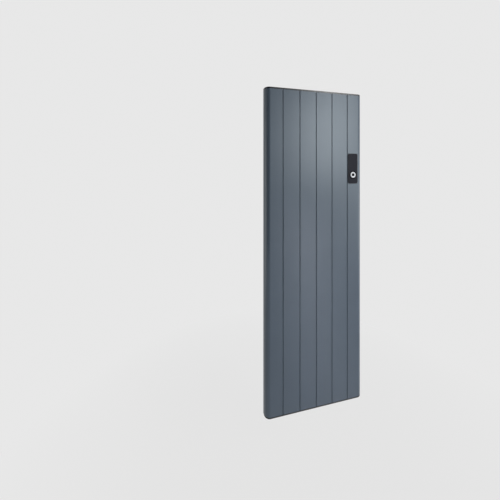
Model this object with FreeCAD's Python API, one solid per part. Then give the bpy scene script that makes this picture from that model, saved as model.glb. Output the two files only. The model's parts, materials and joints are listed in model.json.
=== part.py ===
import FreeCAD, Part
import math
import os

# A tall electric radiator of extruded aluminium profiles, hung on two wall brackets.
# Millimetres. The wall is the plane y = 0, the room lies towards -Y, +Z is up and +X is the viewer's right.
# The origin is the centre of the four wall screws. A depth is counted from the front face towards the wall.

# Overall size
HEIGHT = 1500.0
WIDTH = 500.0
BODY_DEPTH = 38.0
WALL_SPACE = 42.0

# Skin of the extruded profiles and the joints between them
PROFILE_COUNT = 6
SKIN = 2.6
CORNER_RADIUS = 24.0
BACK_RADIUS = 3.0
RETURN_FLANGE = 7.0
GROOVE_WIDTH = 2.4
GROOVE_DEPTH = 4.0
GROOVE_CHAMFER = 0.8
LIP = 2.4
TONGUE_REACH = 5.0
TONGUE_WALL = 1.8
JOINT_CLEARANCE = 0.2

# Fins behind the skin
FIN_FIRST = 12.0
FIN_PITCH = 9.0
FIN_ROOT = 2.0
FIN_TIP = 1.4
FIN_DEPTH = 30.0

# Spine of a profile: bored channel for the heating rod, stem, screw port
ROD_DIAMETER = 8.5
ROD_CLEARANCE = 0.15
ROD_COVER = 3.4
CHANNEL_WALL = 2.6
CHANNEL_CHAMFER = 4.0
STEM_WALL = 2.4
PORT_GAP = 3.4
PORT_WALL = 2.0
PORT_DEPTH = 12.0

# Six-sided screws
SCREW_SHANK = 3.2
SCREW_HEAD = 8.0
SCREW_HEAD_HEIGHT = 2.6
SCREW_GRIP = 9.0
SCREW_SLOT_WIDTH = 4.0
SCREW_SLOT_HEIGHT = 6.0

# End caps
CAP_HEIGHT = 8.0
CAP_PLATE = 3.0
CAP_SKIRT = 3.0
CAP_CHAMFER = 1.8
CAP_TONGUE_LENGTH = 14.0
CAP_TONGUE_START = 8.0
CAP_TONGUE_DEPTH = 18.0
CAP_TONGUE_FIT = 0.2
SLOT_WIDTH = 7.5
SLOT_PITCH = 15.0
SLOT_START = 10.0
SLOT_LENGTH = 21.0

# Heating rods and the wiring space at the foot
ROD_TOP_GAP = 45.0
WIRING_HEIGHT = 70.0
WIRING_MARGIN = 1.4
HEAD_WIDTH = 12.0
HEAD_DEPTH = 9.6
HEAD_LENGTH = 14.0
TAB_WIDTH = 4.0
TAB_THICKNESS = 0.8
TAB_LENGTH = 9.0
TAB_SPACING = 6.0
TRUNK_SIZE = 5.0
TRUNK_DEPTH = 20.0
TRUNK_RISE = 20.0
TRUNK_CHAMFER = 4.0
BRANCH_WIDTH = 8.0
BRANCH_THICKNESS = 2.2
BRANCH_CHAMFER = 3.0
WIRING_COVER_WALL = 1.5
WIRING_COVER_LAP = 22.0
WIRING_COVER_FLANGE = 9.0
WIRING_COVER_SIDE = 6.0
WIRING_COVER_CHAMFER = 4.0

# Cross rails
RAIL_HEIGHT = 36.0
RAIL_DEPTH = 14.0
RAIL_WALL = 1.5
RAIL_LIP = 9.0
RAIL_CHAMFER = 1.0
RAIL_END_GAP = 28.0
RAIL_SCREW_DROP = 6.0

# Wall brackets; the rails hang a little above the wall screws
HOLE_END_GAP = 190.0
HOLE_SPACING = 240.0
HOLE_DIAMETER = 8.0
HOLE_BELOW_RAIL = 12.0
BRACKET_LENGTH = 320.0
BRACKET_WALL = 2.0
BRACKET_BELOW_HOLE = 16.0
BRACKET_ARM_DROP = 13.0
BRACKET_REACH_GAP = 6.0
BRACKET_FOLD = 2.4
BRACKET_CHAMFER = 6.0

# Latches over the upper rail
LATCH_INSET = 70.0
LATCH_ABOVE_RAIL = 16.0
LATCH_PLATE_ABOVE = 14.0
LATCH_PIN_DIAMETER = 6.0
LATCH_PIN_FIT = 0.08
LATCH_HUB = 15.0
LATCH_HUB_CHAMFER = 4.0
LATCH_THICKNESS = 12.0
LATCH_SIDE_PLAY = 0.3
LATCH_STANDOFF = 11.0
LATCH_PIN_HEAD = 1.6
LATCH_HEAD_GAP = 1.0
LATCH_FOOT_GAP = 0.4
LATCH_FOOT_WIDTH = 9.0
LATCH_LEVER_LENGTH = 22.0
LATCH_LEVER_WIDTH = 8.0
LATCH_LEVER_THICKNESS = 4.0
LATCH_LEVER_CHAMFER = 2.5

# Control panel in the right-hand profile
CONTROL_WIDTH = 53.0
CONTROL_HEIGHT = 147.0
CONTROL_DROP = 294.0
CONTROL_CORNER = 8.0
CONTROL_PROUD = 2.2
CONTROL_RIM = 1.5
CONTROL_RIM_CHAMFER = 0.7
GLASS_THICKNESS = 1.6
GLASS_CLEARANCE = 0.2
CONTROL_FLANGE = 3.7
CONTROL_BODY_CHAMFER = 3.0
CONTROL_WALL = 1.8
CONTROL_BODY_DEPTH = 26.0
WINDOW_CLEARANCE = 0.2
POCKET_SIDE_MARGIN = 0.6
POCKET_END_MARGIN = 4.0
HOOK_WIDTH = 8.0
HOOK_REACH = 1.6
HOOK_LENGTH = 6.0
HOOK_CLEARANCE = 0.1
BOARD_DEPTH = 12.0
BOARD_THICKNESS = 1.6
BOARD_CLEARANCE = 0.8
BOARD_POST = 5.0
BOARD_POST_INSET = 1.0
DISPLAY_WIDTH = 34.0
DISPLAY_HEIGHT = 56.0
DISPLAY_DROP = 14.0
DISPLAY_THICKNESS = 3.0
DISPLAY_STEP = 2.0

# Dial with the push button in its middle
DIAL_DROP = 104.0
DIAL_DIAMETER = 28.0
DIAL_PROUD = 2.4
DIAL_CHAMFER = 1.2
DIAL_CLEARANCE = 0.5
DIAL_BUSH_DIAMETER = 16.0
DIAL_BUSH_WALL = 1.2
DIAL_BUSH_SINK = 1.0
DIAL_FIT = 0.08
DIAL_END_GAP = 0.4
ENCODER_SIZE = 27.0
ENCODER_THICKNESS = 6.0
BUTTON_FIT = 0.08
BUTTON_TRAVEL = 1.0
BUTTON_END_GAP = 0.1
BUTTON_SINK = 0.5
TACT_SIZE = 5.4
TACT_HEIGHT = 3.6
TACT_PLUNGER = 2.6
TACT_PLUNGER_HEIGHT = 0.8

# Rear electrics
BOX_WIDTH = 62.0
BOX_OVERLAP = 26.0
BOX_DEPTH = 32.0
BOX_WALL = 2.0
BOX_CORNER = 5.0
BOX_CHAMFER = 1.5
BOX_POST = 7.0
BOX_POST_GAP = 0.6
BOX_SCREW_HOLE = 4.0
LOUVRE_COUNT = 7
LOUVRE_WIDTH = 30.0
LOUVRE_HEIGHT = 2.4
LOUVRE_PITCH = 6.0
LOUVRE_DROP = 40.0
PLATE_THICKNESS = 2.0
PLATE_FIT = 0.2
STANDOFF_HEIGHT = 6.0
STANDOFF_SIZE = 6.0
STANDOFF_INSET = 1.0
POWER_BOARD_MARGIN = 5.0
RELAY_WIDTH = 19.0
RELAY_LENGTH = 16.0
RELAY_HEIGHT = 15.5
RELAY_DROP = 28.0
CAPACITOR_WIDTH = 26.0
CAPACITOR_LENGTH = 11.0
CAPACITOR_HEIGHT = 14.0
CAPACITOR_RISE = 16.0
TERMINAL_HEIGHT = 16.0
TERMINAL_WIDTH = 18.0
TERMINAL_DEPTH = 15.0
TERMINAL_FOOT = 2.0
TERMINAL_FOOT_HEIGHT = 3.0
TERMINAL_GAP = 2.0
TERMINAL_POLES = 3
TERMINAL_POCKET = 4.0
TERMINAL_POCKET_DEPTH = 1.2
RIBBON_WIDTH = 12.0
RIBBON_THICKNESS = 1.2
RIBBON_CLEARANCE = 2.0
TRUNK_ENTRY_CLEARANCE = 0.6

# Rocker switch in the side of the rear box
ROCKER_LENGTH = 15.0
ROCKER_WIDTH = 9.0
ROCKER_TILT = 9.0
ROCKER_RISE = 2.6
ROCKER_EDGE = 3.6
ROCKER_TAPER = 0.7
ROCKER_CLEARANCE = 0.6
ROCKER_PIVOT = 3.0
ROCKER_PIVOT_FIT = 0.06
ROCKER_PIVOT_WALL = 1.6
ROCKER_PIVOT_DEPTH = 1.5
SWITCH_WALL = 1.8
SWITCH_FIT = 0.1
SWITCH_FLANGE = 2.0
SWITCH_FLANGE_THICKNESS = 1.4
SWITCH_CHAMFER = 0.8
SWITCH_BODY_DEPTH = 12.0
SWITCH_RISE = 58.0

# Cable gland, room sensor and thermal cut-out
GLAND_BORE = 8.4
GLAND_NECK = 14.0
GLAND_FIT = 0.1
GLAND_FLANGE = 22.0
GLAND_FLANGE_THICKNESS = 3.0
GLAND_NUT = 18.0
GLAND_NUT_LENGTH = 9.0
GLAND_LOCK_NUT = 19.0
GLAND_LOCK_NUT_HEIGHT = 3.0
GLAND_INSIDE = 7.0
GLAND_WALL_GAP = 22.0
GLAND_SHIFT = 6.0
SENSOR_SIZE = 5.0
SENSOR_LENGTH = 13.0
SENSOR_COLLAR = 1.5
SENSOR_FIT = 0.1
SENSOR_INSET = 12.0
CUTOUT_DIAMETER = 16.0
CUTOUT_HEIGHT = 8.0
CUTOUT_FLANGE_LENGTH = 26.0
CUTOUT_FLANGE_WIDTH = 10.0
CUTOUT_FLANGE_THICKNESS = 1.0
CUTOUT_PLUG = 8.0
CUTOUT_DROP = 40.0
LEAD_WIDTH = 6.0
LEAD_THICKNESS = 2.4
LEAD_FIT = 0.2

# How far a cutting tool runs past the face that it opens
CUT = 1.0

# Values that follow from the ones above
PITCH = WIDTH / PROFILE_COUNT
FRONT = -(BODY_DEPTH + WALL_SPACE)
BACK = -WALL_SPACE
HALF_HEIGHT = HEIGHT / 2
PROFILE_END = HALF_HEIGHT - CAP_HEIGHT
CENTRES = [-WIDTH / 2 + PITCH * (index + 0.5) for index in range(PROFILE_COUNT)]
BORE_RADIUS = ROD_DIAMETER / 2 + ROD_CLEARANCE
BORE_DEPTH = ROD_COVER + BORE_RADIUS
CHANNEL_HALF = BORE_RADIUS + CHANNEL_WALL
PORT_WIDTH = PORT_GAP + 2 * PORT_WALL
JOINT_DEPTH = GROOVE_DEPTH + TONGUE_WALL
JOINT_REACH = GROOVE_WIDTH / 2 + TONGUE_REACH
FIN_GAP = FIN_PITCH - FIN_ROOT
WIRING_TOP = -PROFILE_END + WIRING_HEIGHT
WIRING_LEFT = CENTRES[0] - CHANNEL_HALF - WIRING_MARGIN
WIRING_RIGHT = CENTRES[-1] - CHANNEL_HALF - WIRING_MARGIN
WIRING_SCREWS_X = [CENTRES[0], CENTRES[2], CENTRES[-3], CENTRES[-1]]
WIRING_SCREW_Z = WIRING_TOP + WIRING_COVER_LAP / 2
TRUNK_X = CENTRES[-1] - FIN_FIRST - FIN_PITCH / 2
HOLE_Z = HALF_HEIGHT - HOLE_END_GAP
TOP_RAIL_Z = HOLE_Z + HOLE_BELOW_RAIL
BOTTOM_RAIL_Z = -HOLE_Z + HOLE_BELOW_RAIL
RAIL_HEIGHTS = [TOP_RAIL_Z, (TOP_RAIL_Z + BOTTOM_RAIL_Z) / 2, BOTTOM_RAIL_Z]
LATCH_Z = TOP_RAIL_Z + RAIL_HEIGHT / 2 + LATCH_ABOVE_RAIL
LATCH_HEAD = BODY_DEPTH + LATCH_HEAD_GAP
LATCH_FRONT = LATCH_HEAD + LATCH_PIN_HEAD + LATCH_SIDE_PLAY
LATCH_BACK = LATCH_FRONT + LATCH_THICKNESS
CONTROL_X = WIDTH / 2 - (PITCH - GROOVE_WIDTH / 2 + CORNER_RADIUS) / 2
CONTROL_TOP = HALF_HEIGHT - CONTROL_DROP
CONTROL_Z = CONTROL_TOP - CONTROL_HEIGHT / 2
GLASS_WIDTH = CONTROL_WIDTH - 2 * CONTROL_RIM
GLASS_HEIGHT = CONTROL_HEIGHT - 2 * CONTROL_RIM
GLASS_CORNER = CONTROL_CORNER - CONTROL_RIM
GLASS_BACK = GLASS_THICKNESS - CONTROL_PROUD
BODY_WIDTH = CONTROL_WIDTH - 2 * CONTROL_FLANGE
BODY_HEIGHT = CONTROL_HEIGHT - 2 * CONTROL_FLANGE
INNER_WIDTH = BODY_WIDTH - 2 * CONTROL_WALL
INNER_HEIGHT = BODY_HEIGHT - 2 * CONTROL_WALL
BOARD_WIDTH = INNER_WIDTH - 2 * BOARD_CLEARANCE
BOARD_HEIGHT = INNER_HEIGHT - 2 * BOARD_CLEARANCE
WINDOW_WIDTH = BODY_WIDTH + 2 * WINDOW_CLEARANCE
WINDOW_HEIGHT = BODY_HEIGHT + 2 * WINDOW_CLEARANCE
POCKET_HEIGHT = WINDOW_HEIGHT + 2 * POCKET_END_MARGIN
DIAL_Z = CONTROL_TOP - DIAL_DROP
DIAL_TOP = -CONTROL_PROUD - DIAL_PROUD
ENCODER_FRONT = BOARD_DEPTH - ENCODER_THICKNESS
BUSH_TOP = DIAL_TOP + DIAL_BUSH_SINK
BUSH_BORE = DIAL_BUSH_DIAMETER - 2 * DIAL_BUSH_WALL
TACT_TOP = BOARD_DEPTH - TACT_HEIGHT
BOX_X = CENTRES[-1]
BOX_LEFT = BOX_X - BOX_WIDTH / 2
BOX_RIGHT = BOX_X + BOX_WIDTH / 2
BOX_BOTTOM = CONTROL_Z - WINDOW_HEIGHT / 2 - BOX_OVERLAP
BOX_TOP = CONTROL_Z + WINDOW_HEIGHT / 2 + BOX_OVERLAP
BOX_HEIGHT = BOX_TOP - BOX_BOTTOM
BOX_BACK = BODY_DEPTH + BOX_DEPTH
PLATE_BACK = BODY_DEPTH + PLATE_THICKNESS
PLATE_SCREW_REACH = (POCKET_HEIGHT / 2 + BOX_HEIGHT / 2 - BOX_WALL) / 2
POWER_BOARD_FRONT = PLATE_BACK + STANDOFF_HEIGHT
TERMINAL_X = BOX_LEFT + BOX_WALL + TERMINAL_GAP + TERMINAL_WIDTH / 2
TERMINAL_Z = BOX_BOTTOM + BOX_WALL + TERMINAL_GAP + TERMINAL_HEIGHT / 2
POWER_LEFT = BOX_LEFT + BOX_WALL + POWER_BOARD_MARGIN
POWER_RIGHT = BOX_RIGHT - SWITCH_BODY_DEPTH - POWER_BOARD_MARGIN
POWER_LOW = TERMINAL_Z + TERMINAL_HEIGHT / 2 + POWER_BOARD_MARGIN
POWER_HIGH = BOX_TOP - BOX_WALL - BOX_POST - POWER_BOARD_MARGIN
POWER_X = (POWER_LEFT + POWER_RIGHT) / 2
SWITCH_Y = BACK + BOX_DEPTH / 2
SWITCH_Z = BOX_BOTTOM + SWITCH_RISE
PIVOT_X = BOX_RIGHT - ROCKER_PIVOT_DEPTH
WELL_HALF_WIDTH = ROCKER_WIDTH / 2 + ROCKER_CLEARANCE
WELL_HALF_LENGTH = ROCKER_LENGTH / 2 + ROCKER_CLEARANCE
GLAND_X = BOX_X + GLAND_SHIFT
GLAND_Y = -GLAND_WALL_GAP
SENSOR_X = BOX_LEFT + SENSOR_INSET
CUTOUT_X = CENTRES[-2]
CUTOUT_Z = BOX_TOP - CUTOUT_DROP
PLUG_RIGHT = CUTOUT_X + CUTOUT_DIAMETER / 2 + CUTOUT_PLUG / 2
LEAD_DEPTH = BODY_DEPTH + CUTOUT_HEIGHT / 2

VECTOR = FreeCAD.Vector
ORIGIN = VECTOR(0, 0, 0)
TO_WALL = VECTOR(0, 1, 0)
UP = VECTOR(0, 0, 1)


def outline_face(corners, chamfered=False):
    """Flat face in the XY plane from (x, y, size) corners: arcs of that radius, or straight chamfers."""
    count = len(corners)
    points = [VECTOR(x, y, 0) for x, y, size in corners]
    turns = []
    for index in range(count):
        here = points[index]
        size = corners[index][2]
        if size <= 0:
            turns.append((here, None, here))
            continue
        to_last = (points[index - 1] - here).normalize()
        to_next = (points[(index + 1) % count] - here).normalize()
        half = to_last.getAngle(to_next) / 2
        setback = size if chamfered else size / math.tan(half)
        middle = here + (to_last + to_next).normalize() * (size / math.sin(half) - size)
        turns.append((here + to_last * setback, middle, here + to_next * setback))
    edges = []
    for index in range(count):
        start, middle, end = turns[index]
        if middle is not None and chamfered:
            edges.append(Part.LineSegment(start, end).toShape())
        elif middle is not None:
            edges.append(Part.Arc(start, middle, end).toShape())
        following = turns[(index + 1) % count][0]
        edges.append(Part.LineSegment(end, following).toShape())
    return Part.Face(Part.Wire(edges))


def rectangle(width, height, size=0.0, x=0.0, y=0.0):
    """Corners of a rectangle about a centre."""
    left = x - width / 2
    right = x + width / 2
    low = y - height / 2
    high = y + height / 2
    return [(left, low, size), (right, low, size), (right, high, size), (left, high, size)]


def upright(corners, low, high, chamfered=False):
    """Solid with an outline in x and depth, standing from one height to another."""
    face = outline_face(corners, chamfered)
    face.translate(VECTOR(0, FRONT, low))
    return face.extrude(VECTOR(0, 0, high - low))


def slab(corners, front, back, chamfered=False):
    """Solid with an outline in x and z, between two depths."""
    face = outline_face(corners, chamfered)
    face.rotate(ORIGIN, VECTOR(1, 0, 0), 90)
    face.translate(VECTOR(0, FRONT + front, 0))
    return face.extrude(VECTOR(0, back - front, 0))


def bar(corners, left, right, chamfered=False):
    """Solid with an outline in depth and z, between two places along x."""
    face = outline_face(corners, chamfered)
    face.rotate(ORIGIN, VECTOR(1, 1, 1), 120)
    face.translate(VECTOR(left, FRONT, 0))
    return face.extrude(VECTOR(right - left, 0, 0))


def turned(corners, x, z):
    """Solid of revolution about a line along y, from corners in radius and depth."""
    solid = outline_face(corners, True).revolve(ORIGIN, TO_WALL, 360)
    solid.translate(VECTOR(x, FRONT, z))
    return solid


def block(x_from, x_to, front, back, low, high):
    """Plain box between two places along x, two depths and two heights."""
    corner = VECTOR(x_from, FRONT + front, low)
    return Part.makeBox(x_to - x_from, back - front, high - low, corner)


def round_bar(diameter, start, direction, length):
    """Round bar from a point along a direction."""
    return Part.makeCylinder(diameter / 2, length, start, direction)


def hex_bar(across, start, direction, length):
    """Six-sided bar, measured across its corners, from a point along a direction."""
    side = VECTOR(1, 0, 0)
    other = direction.cross(side)
    turns = [math.radians(60 * step) for step in range(7)]
    ring = [start + (side * math.cos(turn) + other * math.sin(turn)) * (across / 2) for turn in turns]
    return Part.Face(Part.makePolygon(ring)).extrude(direction * length)


def joined(shapes):
    """One solid from overlapping or touching shapes."""
    return shapes[0].multiFuse(shapes[1:]).removeSplitter().Solids[0]


def cut_away(shape, tools):
    """The shape less all the tools."""
    return shape.cut(Part.Compound(tools)).Solids[0]


def upside_down(shape):
    """The same shape mirrored to the other end of the radiator."""
    return shape.mirror(ORIGIN, UP)


def save(name, shape):
    """Write one node of the assembly."""
    shape.exportStep("parts/" + name + ".step")


def screw(bearing, grip):
    """Screw that points to the room: its six-sided head bears on the given point, its shank is square."""
    head = hex_bar(SCREW_HEAD, bearing, TO_WALL, SCREW_HEAD_HEIGHT)
    seat = bearing.y - FRONT
    corners = rectangle(SCREW_SHANK, SCREW_SHANK, 0, bearing.x, bearing.z)
    return joined([head, slab(corners, seat - grip, seat)])


def screw_slot(x, z, thickness):
    """Tool for the punched slot of a screw in a sheet behind the profiles."""
    corners = rectangle(SCREW_SLOT_WIDTH, SCREW_SLOT_HEIGHT, 0, x, z)
    return slab(corners, BODY_DEPTH - CUT, BODY_DEPTH + thickness + CUT)


def left_side(left, rounded):
    """Front corner and back corners of the left edge of a profile's skin."""
    if rounded:
        back = [
            (left + SKIN, SKIN, CORNER_RADIUS - SKIN),
            (left + SKIN, BODY_DEPTH - SKIN, 0),
            (left + RETURN_FLANGE, BODY_DEPTH - SKIN, 0),
            (left + RETURN_FLANGE, BODY_DEPTH, 0),
            (left, BODY_DEPTH, BACK_RADIUS),
        ]
        return [(left, 0, CORNER_RADIUS)], back
    edge = left + GROOVE_WIDTH / 2
    end = GROOVE_DEPTH - JOINT_CLEARANCE
    front = [(edge, GROOVE_CHAMFER, 0), (edge + GROOVE_CHAMFER, 0, 0)]
    return front, [(edge + LIP, SKIN, 0), (edge + LIP, end, 0), (edge, end, 0)]


def right_side(right, rounded):
    """Front corner and back corners of the right edge of a profile's skin."""
    if rounded:
        back = [
            (right, BODY_DEPTH, BACK_RADIUS),
            (right - RETURN_FLANGE, BODY_DEPTH, 0),
            (right - RETURN_FLANGE, BODY_DEPTH - SKIN, 0),
            (right - SKIN, BODY_DEPTH - SKIN, 0),
            (right - SKIN, SKIN, CORNER_RADIUS - SKIN),
        ]
        return [(right, 0, CORNER_RADIUS)], back
    edge = right - GROOVE_WIDTH / 2
    tip = right + JOINT_REACH
    front = [(edge - GROOVE_CHAMFER, 0, 0), (edge, GROOVE_CHAMFER, 0)]
    back = [
        (edge, GROOVE_DEPTH, 0),
        (tip, GROOVE_DEPTH, 0),
        (tip, JOINT_DEPTH, 0),
        (edge - LIP, JOINT_DEPTH, 0),
        (edge - LIP, SKIN, 0),
    ]
    return front, back


def fin_offsets(room):
    """Distances from the middle of the profile of the fins that fit in the room beside it."""
    count = int((room - FIN_FIRST - FIN_ROOT / 2) // FIN_PITCH) + 1
    return [FIN_FIRST + FIN_PITCH * index for index in range(max(count, 0))]


def fin(x):
    """Tapered fin in the section."""
    root = FIN_ROOT / 2
    tip = FIN_TIP / 2
    start = SKIN / 2
    return outline_face([
        (x - root, start, 0), (x + root, start, 0), (x + tip, FIN_DEPTH, 0), (x - tip, FIN_DEPTH, 0)])


def spine(x):
    """Faces of the section that carry the heating rod and the screws of the rails."""
    channel_length = BORE_DEPTH + CHANNEL_HALF - SKIN / 2
    channel = rectangle(2 * CHANNEL_HALF, channel_length, 0, x, SKIN / 2 + channel_length / 2)
    channel[2] = channel[2][:2] + (CHANNEL_CHAMFER,)
    channel[3] = channel[3][:2] + (CHANNEL_CHAMFER,)
    stem_length = BODY_DEPTH - PORT_DEPTH - BORE_DEPTH
    port_length = PORT_DEPTH + PORT_WALL
    return [
        outline_face(channel, True),
        outline_face(rectangle(STEM_WALL, stem_length, 0, x, BORE_DEPTH + stem_length / 2)),
        outline_face(rectangle(PORT_WIDTH, port_length, 0, x, BODY_DEPTH - port_length / 2)),
    ]


def profile(index):
    """One extruded profile: skin, fins and spine, then the cuts for wiring and control."""
    left = -WIDTH / 2 + PITCH * index
    centre = CENTRES[index]
    first = index == 0
    last = index == PROFILE_COUNT - 1
    front_left, back_left = left_side(left, first)
    front_right, back_right = right_side(left + PITCH, last)
    skin = outline_face(front_left + front_right + back_right + back_left)
    joint_room = PITCH / 2 - JOINT_REACH - JOINT_CLEARANCE
    round_room = PITCH / 2 - CORNER_RADIUS + 0.75 * math.sqrt(CORNER_RADIUS * SKIN)
    left_fins = [fin(centre - offset) for offset in fin_offsets(round_room if first else joint_room)]
    right_fins = [fin(centre + offset) for offset in fin_offsets(round_room if last else joint_room)]
    bore = Part.Face(Part.Wire(Part.Circle(VECTOR(centre, BORE_DEPTH, 0), UP, BORE_RADIUS).toShape()))
    gap = outline_face(rectangle(PORT_GAP, 2 * PORT_DEPTH, 0, centre, BODY_DEPTH))
    section = skin.multiFuse(left_fins + right_fins + spine(centre)).removeSplitter()
    section = section.cut(Part.Compound([bore, gap]))
    solid = section.Faces[0].extrude(UP * (2 * PROFILE_END))
    solid.translate(VECTOR(0, FRONT, -PROFILE_END))
    bottom = -PROFILE_END - CUT
    behind_joint = JOINT_DEPTH + JOINT_CLEARANCE
    cuts = [block(WIRING_LEFT, WIRING_RIGHT, behind_joint, BODY_DEPTH + CUT, bottom, WIRING_TOP)]
    if last:
        window = rectangle(WINDOW_WIDTH, WINDOW_HEIGHT, CONTROL_BODY_CHAMFER, CONTROL_X, CONTROL_Z)
        cuts.append(slab(window, -CUT, SKIN + CUT, True))
        pocket = rectangle(WINDOW_WIDTH + 2 * POCKET_SIDE_MARGIN, POCKET_HEIGHT, 0, CONTROL_X, CONTROL_Z)
        cuts.append(slab(pocket, SKIN, BODY_DEPTH + CUT))
    else:
        half_head = HEAD_WIDTH / 2 + WIRING_MARGIN
        cuts.append(block(centre - half_head, centre + half_head, SKIN, BODY_DEPTH, bottom, WIRING_TOP))
    return cut_away(solid, cuts)


def cap_outline(inset):
    """Outline of the end caps, drawn in by the inset."""
    half = WIDTH / 2 - inset
    corner = CORNER_RADIUS - inset
    rear = max(BACK_RADIUS - inset, 0)
    back = BODY_DEPTH - inset
    return [(-half, inset, corner), (half, inset, corner), (half, back, rear), (-half, back, rear)]


def end_cap(tongue_places, slotted):
    """Moulded end cap, drawn for the top: chamfered rim, hollow below, tongues that grip between fins."""
    solid = upright(cap_outline(0), PROFILE_END, HALF_HEIGHT)
    rim = [edge for edge in solid.Edges if abs(edge.BoundBox.ZMin - HALF_HEIGHT) < 1e-6]
    solid = solid.makeChamfer(CAP_CHAMFER, rim)
    under = HALF_HEIGHT - CAP_PLATE
    solid = solid.cut(upright(cap_outline(CAP_SKIRT), PROFILE_END - CUT, under, True))
    half = (FIN_GAP - 2 * CAP_TONGUE_FIT) / 2
    tongue_back = CAP_TONGUE_START + CAP_TONGUE_DEPTH
    tongue_end = PROFILE_END - CAP_TONGUE_LENGTH
    pieces = [solid]
    for x in tongue_places:
        pieces.append(block(x - half, x + half, CAP_TONGUE_START, tongue_back, tongue_end, under))
    solid = joined(pieces)
    if not slotted:
        return solid
    count = int((WIDTH - 2 * CORNER_RADIUS - SLOT_WIDTH) // SLOT_PITCH) + 1
    places = [(index - (count - 1) / 2) * SLOT_PITCH for index in range(count)]
    slots = []
    for x in places:
        if min(abs(x - tongue) for tongue in tongue_places) > half + SLOT_WIDTH / 2:
            corners = rectangle(SLOT_WIDTH, SLOT_LENGTH, 0, x, SLOT_START + SLOT_LENGTH / 2)
            slots.append(upright(corners, PROFILE_END - CUT, HALF_HEIGHT + CUT))
    return cut_away(solid, slots)


def heating_element(x):
    """Sheathed rod in the bore of a spine."""
    length = PROFILE_END - ROD_TOP_GAP - WIRING_TOP
    return round_bar(ROD_DIAMETER, VECTOR(x, FRONT + BORE_DEPTH, WIRING_TOP), UP, length)


def element_terminal(x):
    """Ceramic head under a rod with its two flat tabs."""
    low = WIRING_TOP - HEAD_LENGTH
    pieces = [upright(rectangle(HEAD_WIDTH, HEAD_DEPTH, 0, x, BORE_DEPTH), low, WIRING_TOP)]
    for tab_x in (x - TAB_SPACING / 2, x + TAB_SPACING / 2):
        tab = rectangle(TAB_WIDTH, TAB_THICKNESS, 0, tab_x, BORE_DEPTH)
        pieces.append(upright(tab, low - TAB_LENGTH, low))
    return joined(pieces)


def wiring_harness():
    """Loom: a trunk along the foot and up beside the last spine, with a twin lead to each head."""
    z = -PROFILE_END + TRUNK_RISE
    half = TRUNK_SIZE / 2
    start = CENTRES[0] - BRANCH_WIDTH / 2
    top = TERMINAL_Z + half
    trunk = slab([
        (start, z - half, 0),
        (TRUNK_X + half, z - half, TRUNK_CHAMFER),
        (TRUNK_X + half, top, 0),
        (TRUNK_X - half, top, 0),
        (TRUNK_X - half, z + half, TRUNK_CHAMFER),
        (start, z + half, 0),
    ], TRUNK_DEPTH - half, TRUNK_DEPTH + half, True)
    end = PLATE_BACK + TERMINAL_FOOT
    pieces = [trunk, block(TRUNK_X - half, TRUNK_X + half, TRUNK_DEPTH, end, top - TRUNK_SIZE, top)]
    half = BRANCH_THICKNESS / 2
    tab_end = WIRING_TOP - HEAD_LENGTH - TAB_LENGTH
    for x in CENTRES[:-1]:
        pieces.append(bar([
            (BORE_DEPTH - half, tab_end, 0),
            (BORE_DEPTH - half, z - half, BRANCH_CHAMFER),
            (TRUNK_DEPTH, z - half, 0),
            (TRUNK_DEPTH, z + half, 0),
            (BORE_DEPTH + half, z + half, BRANCH_CHAMFER),
            (BORE_DEPTH + half, tab_end, 0),
        ], x - BRANCH_WIDTH / 2, x + BRANCH_WIDTH / 2, True))
    return joined(pieces)


def wiring_cover():
    """Folded sheet that closes the wiring space at the back."""
    left = WIRING_LEFT - WIRING_COVER_SIDE
    right = CENTRES[-1] + PORT_WIDTH
    low = -PROFILE_END
    high = WIRING_TOP + WIRING_COVER_LAP
    top = WIRING_COVER_CHAMFER
    back = BODY_DEPTH + WIRING_COVER_WALL
    sheet_corners = [(left, low, 0), (right, low, 0), (right, high, top), (left, high, top)]
    sheet = slab(sheet_corners, BODY_DEPTH, back, True)
    flange_front = BODY_DEPTH - WIRING_COVER_FLANGE
    flange = block(WIRING_LEFT, WIRING_RIGHT, flange_front, back, low, low + WIRING_COVER_WALL)
    slots = [screw_slot(x, WIRING_SCREW_Z, WIRING_COVER_WALL) for x in WIRING_SCREWS_X]
    return cut_away(joined([sheet, flange]), slots)


def cross_rail(z):
    """Folded rail across the backs of the profiles, with a lip that hooks over the bracket."""
    low = z - RAIL_HEIGHT / 2
    high = z + RAIL_HEIGHT / 2
    back = BODY_DEPTH + RAIL_DEPTH
    inner = BODY_DEPTH + RAIL_WALL
    half = WIDTH / 2 - RAIL_END_GAP
    rail = bar([
        (BODY_DEPTH, low, RAIL_CHAMFER),
        (back, low, 0),
        (back, low + RAIL_WALL, 0),
        (inner, low + RAIL_WALL, 0),
        (inner, high - RAIL_WALL, 0),
        (back - RAIL_WALL, high - RAIL_WALL, 0),
        (back - RAIL_WALL, high - RAIL_LIP, 0),
        (back, high - RAIL_LIP, 0),
        (back, high, RAIL_CHAMFER),
        (BODY_DEPTH, high, RAIL_CHAMFER),
    ], -half, half, True)
    return cut_away(rail, [screw_slot(x, z - RAIL_SCREW_DROP, RAIL_WALL) for x in CENTRES])


def rail_screw_places():
    """Points on which the screws of the rails, the wiring cover and the mounting plate bear."""
    places = []
    for z in RAIL_HEIGHTS:
        places += [VECTOR(x, BACK + RAIL_WALL, z - RAIL_SCREW_DROP) for x in CENTRES]
    places += [VECTOR(x, BACK + WIRING_COVER_WALL, WIRING_SCREW_Z) for x in WIRING_SCREWS_X]
    for z in (CONTROL_Z - PLATE_SCREW_REACH, CONTROL_Z + PLATE_SCREW_REACH):
        places.append(VECTOR(BOX_X, BACK + PLATE_THICKNESS, z))
    return places


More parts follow.
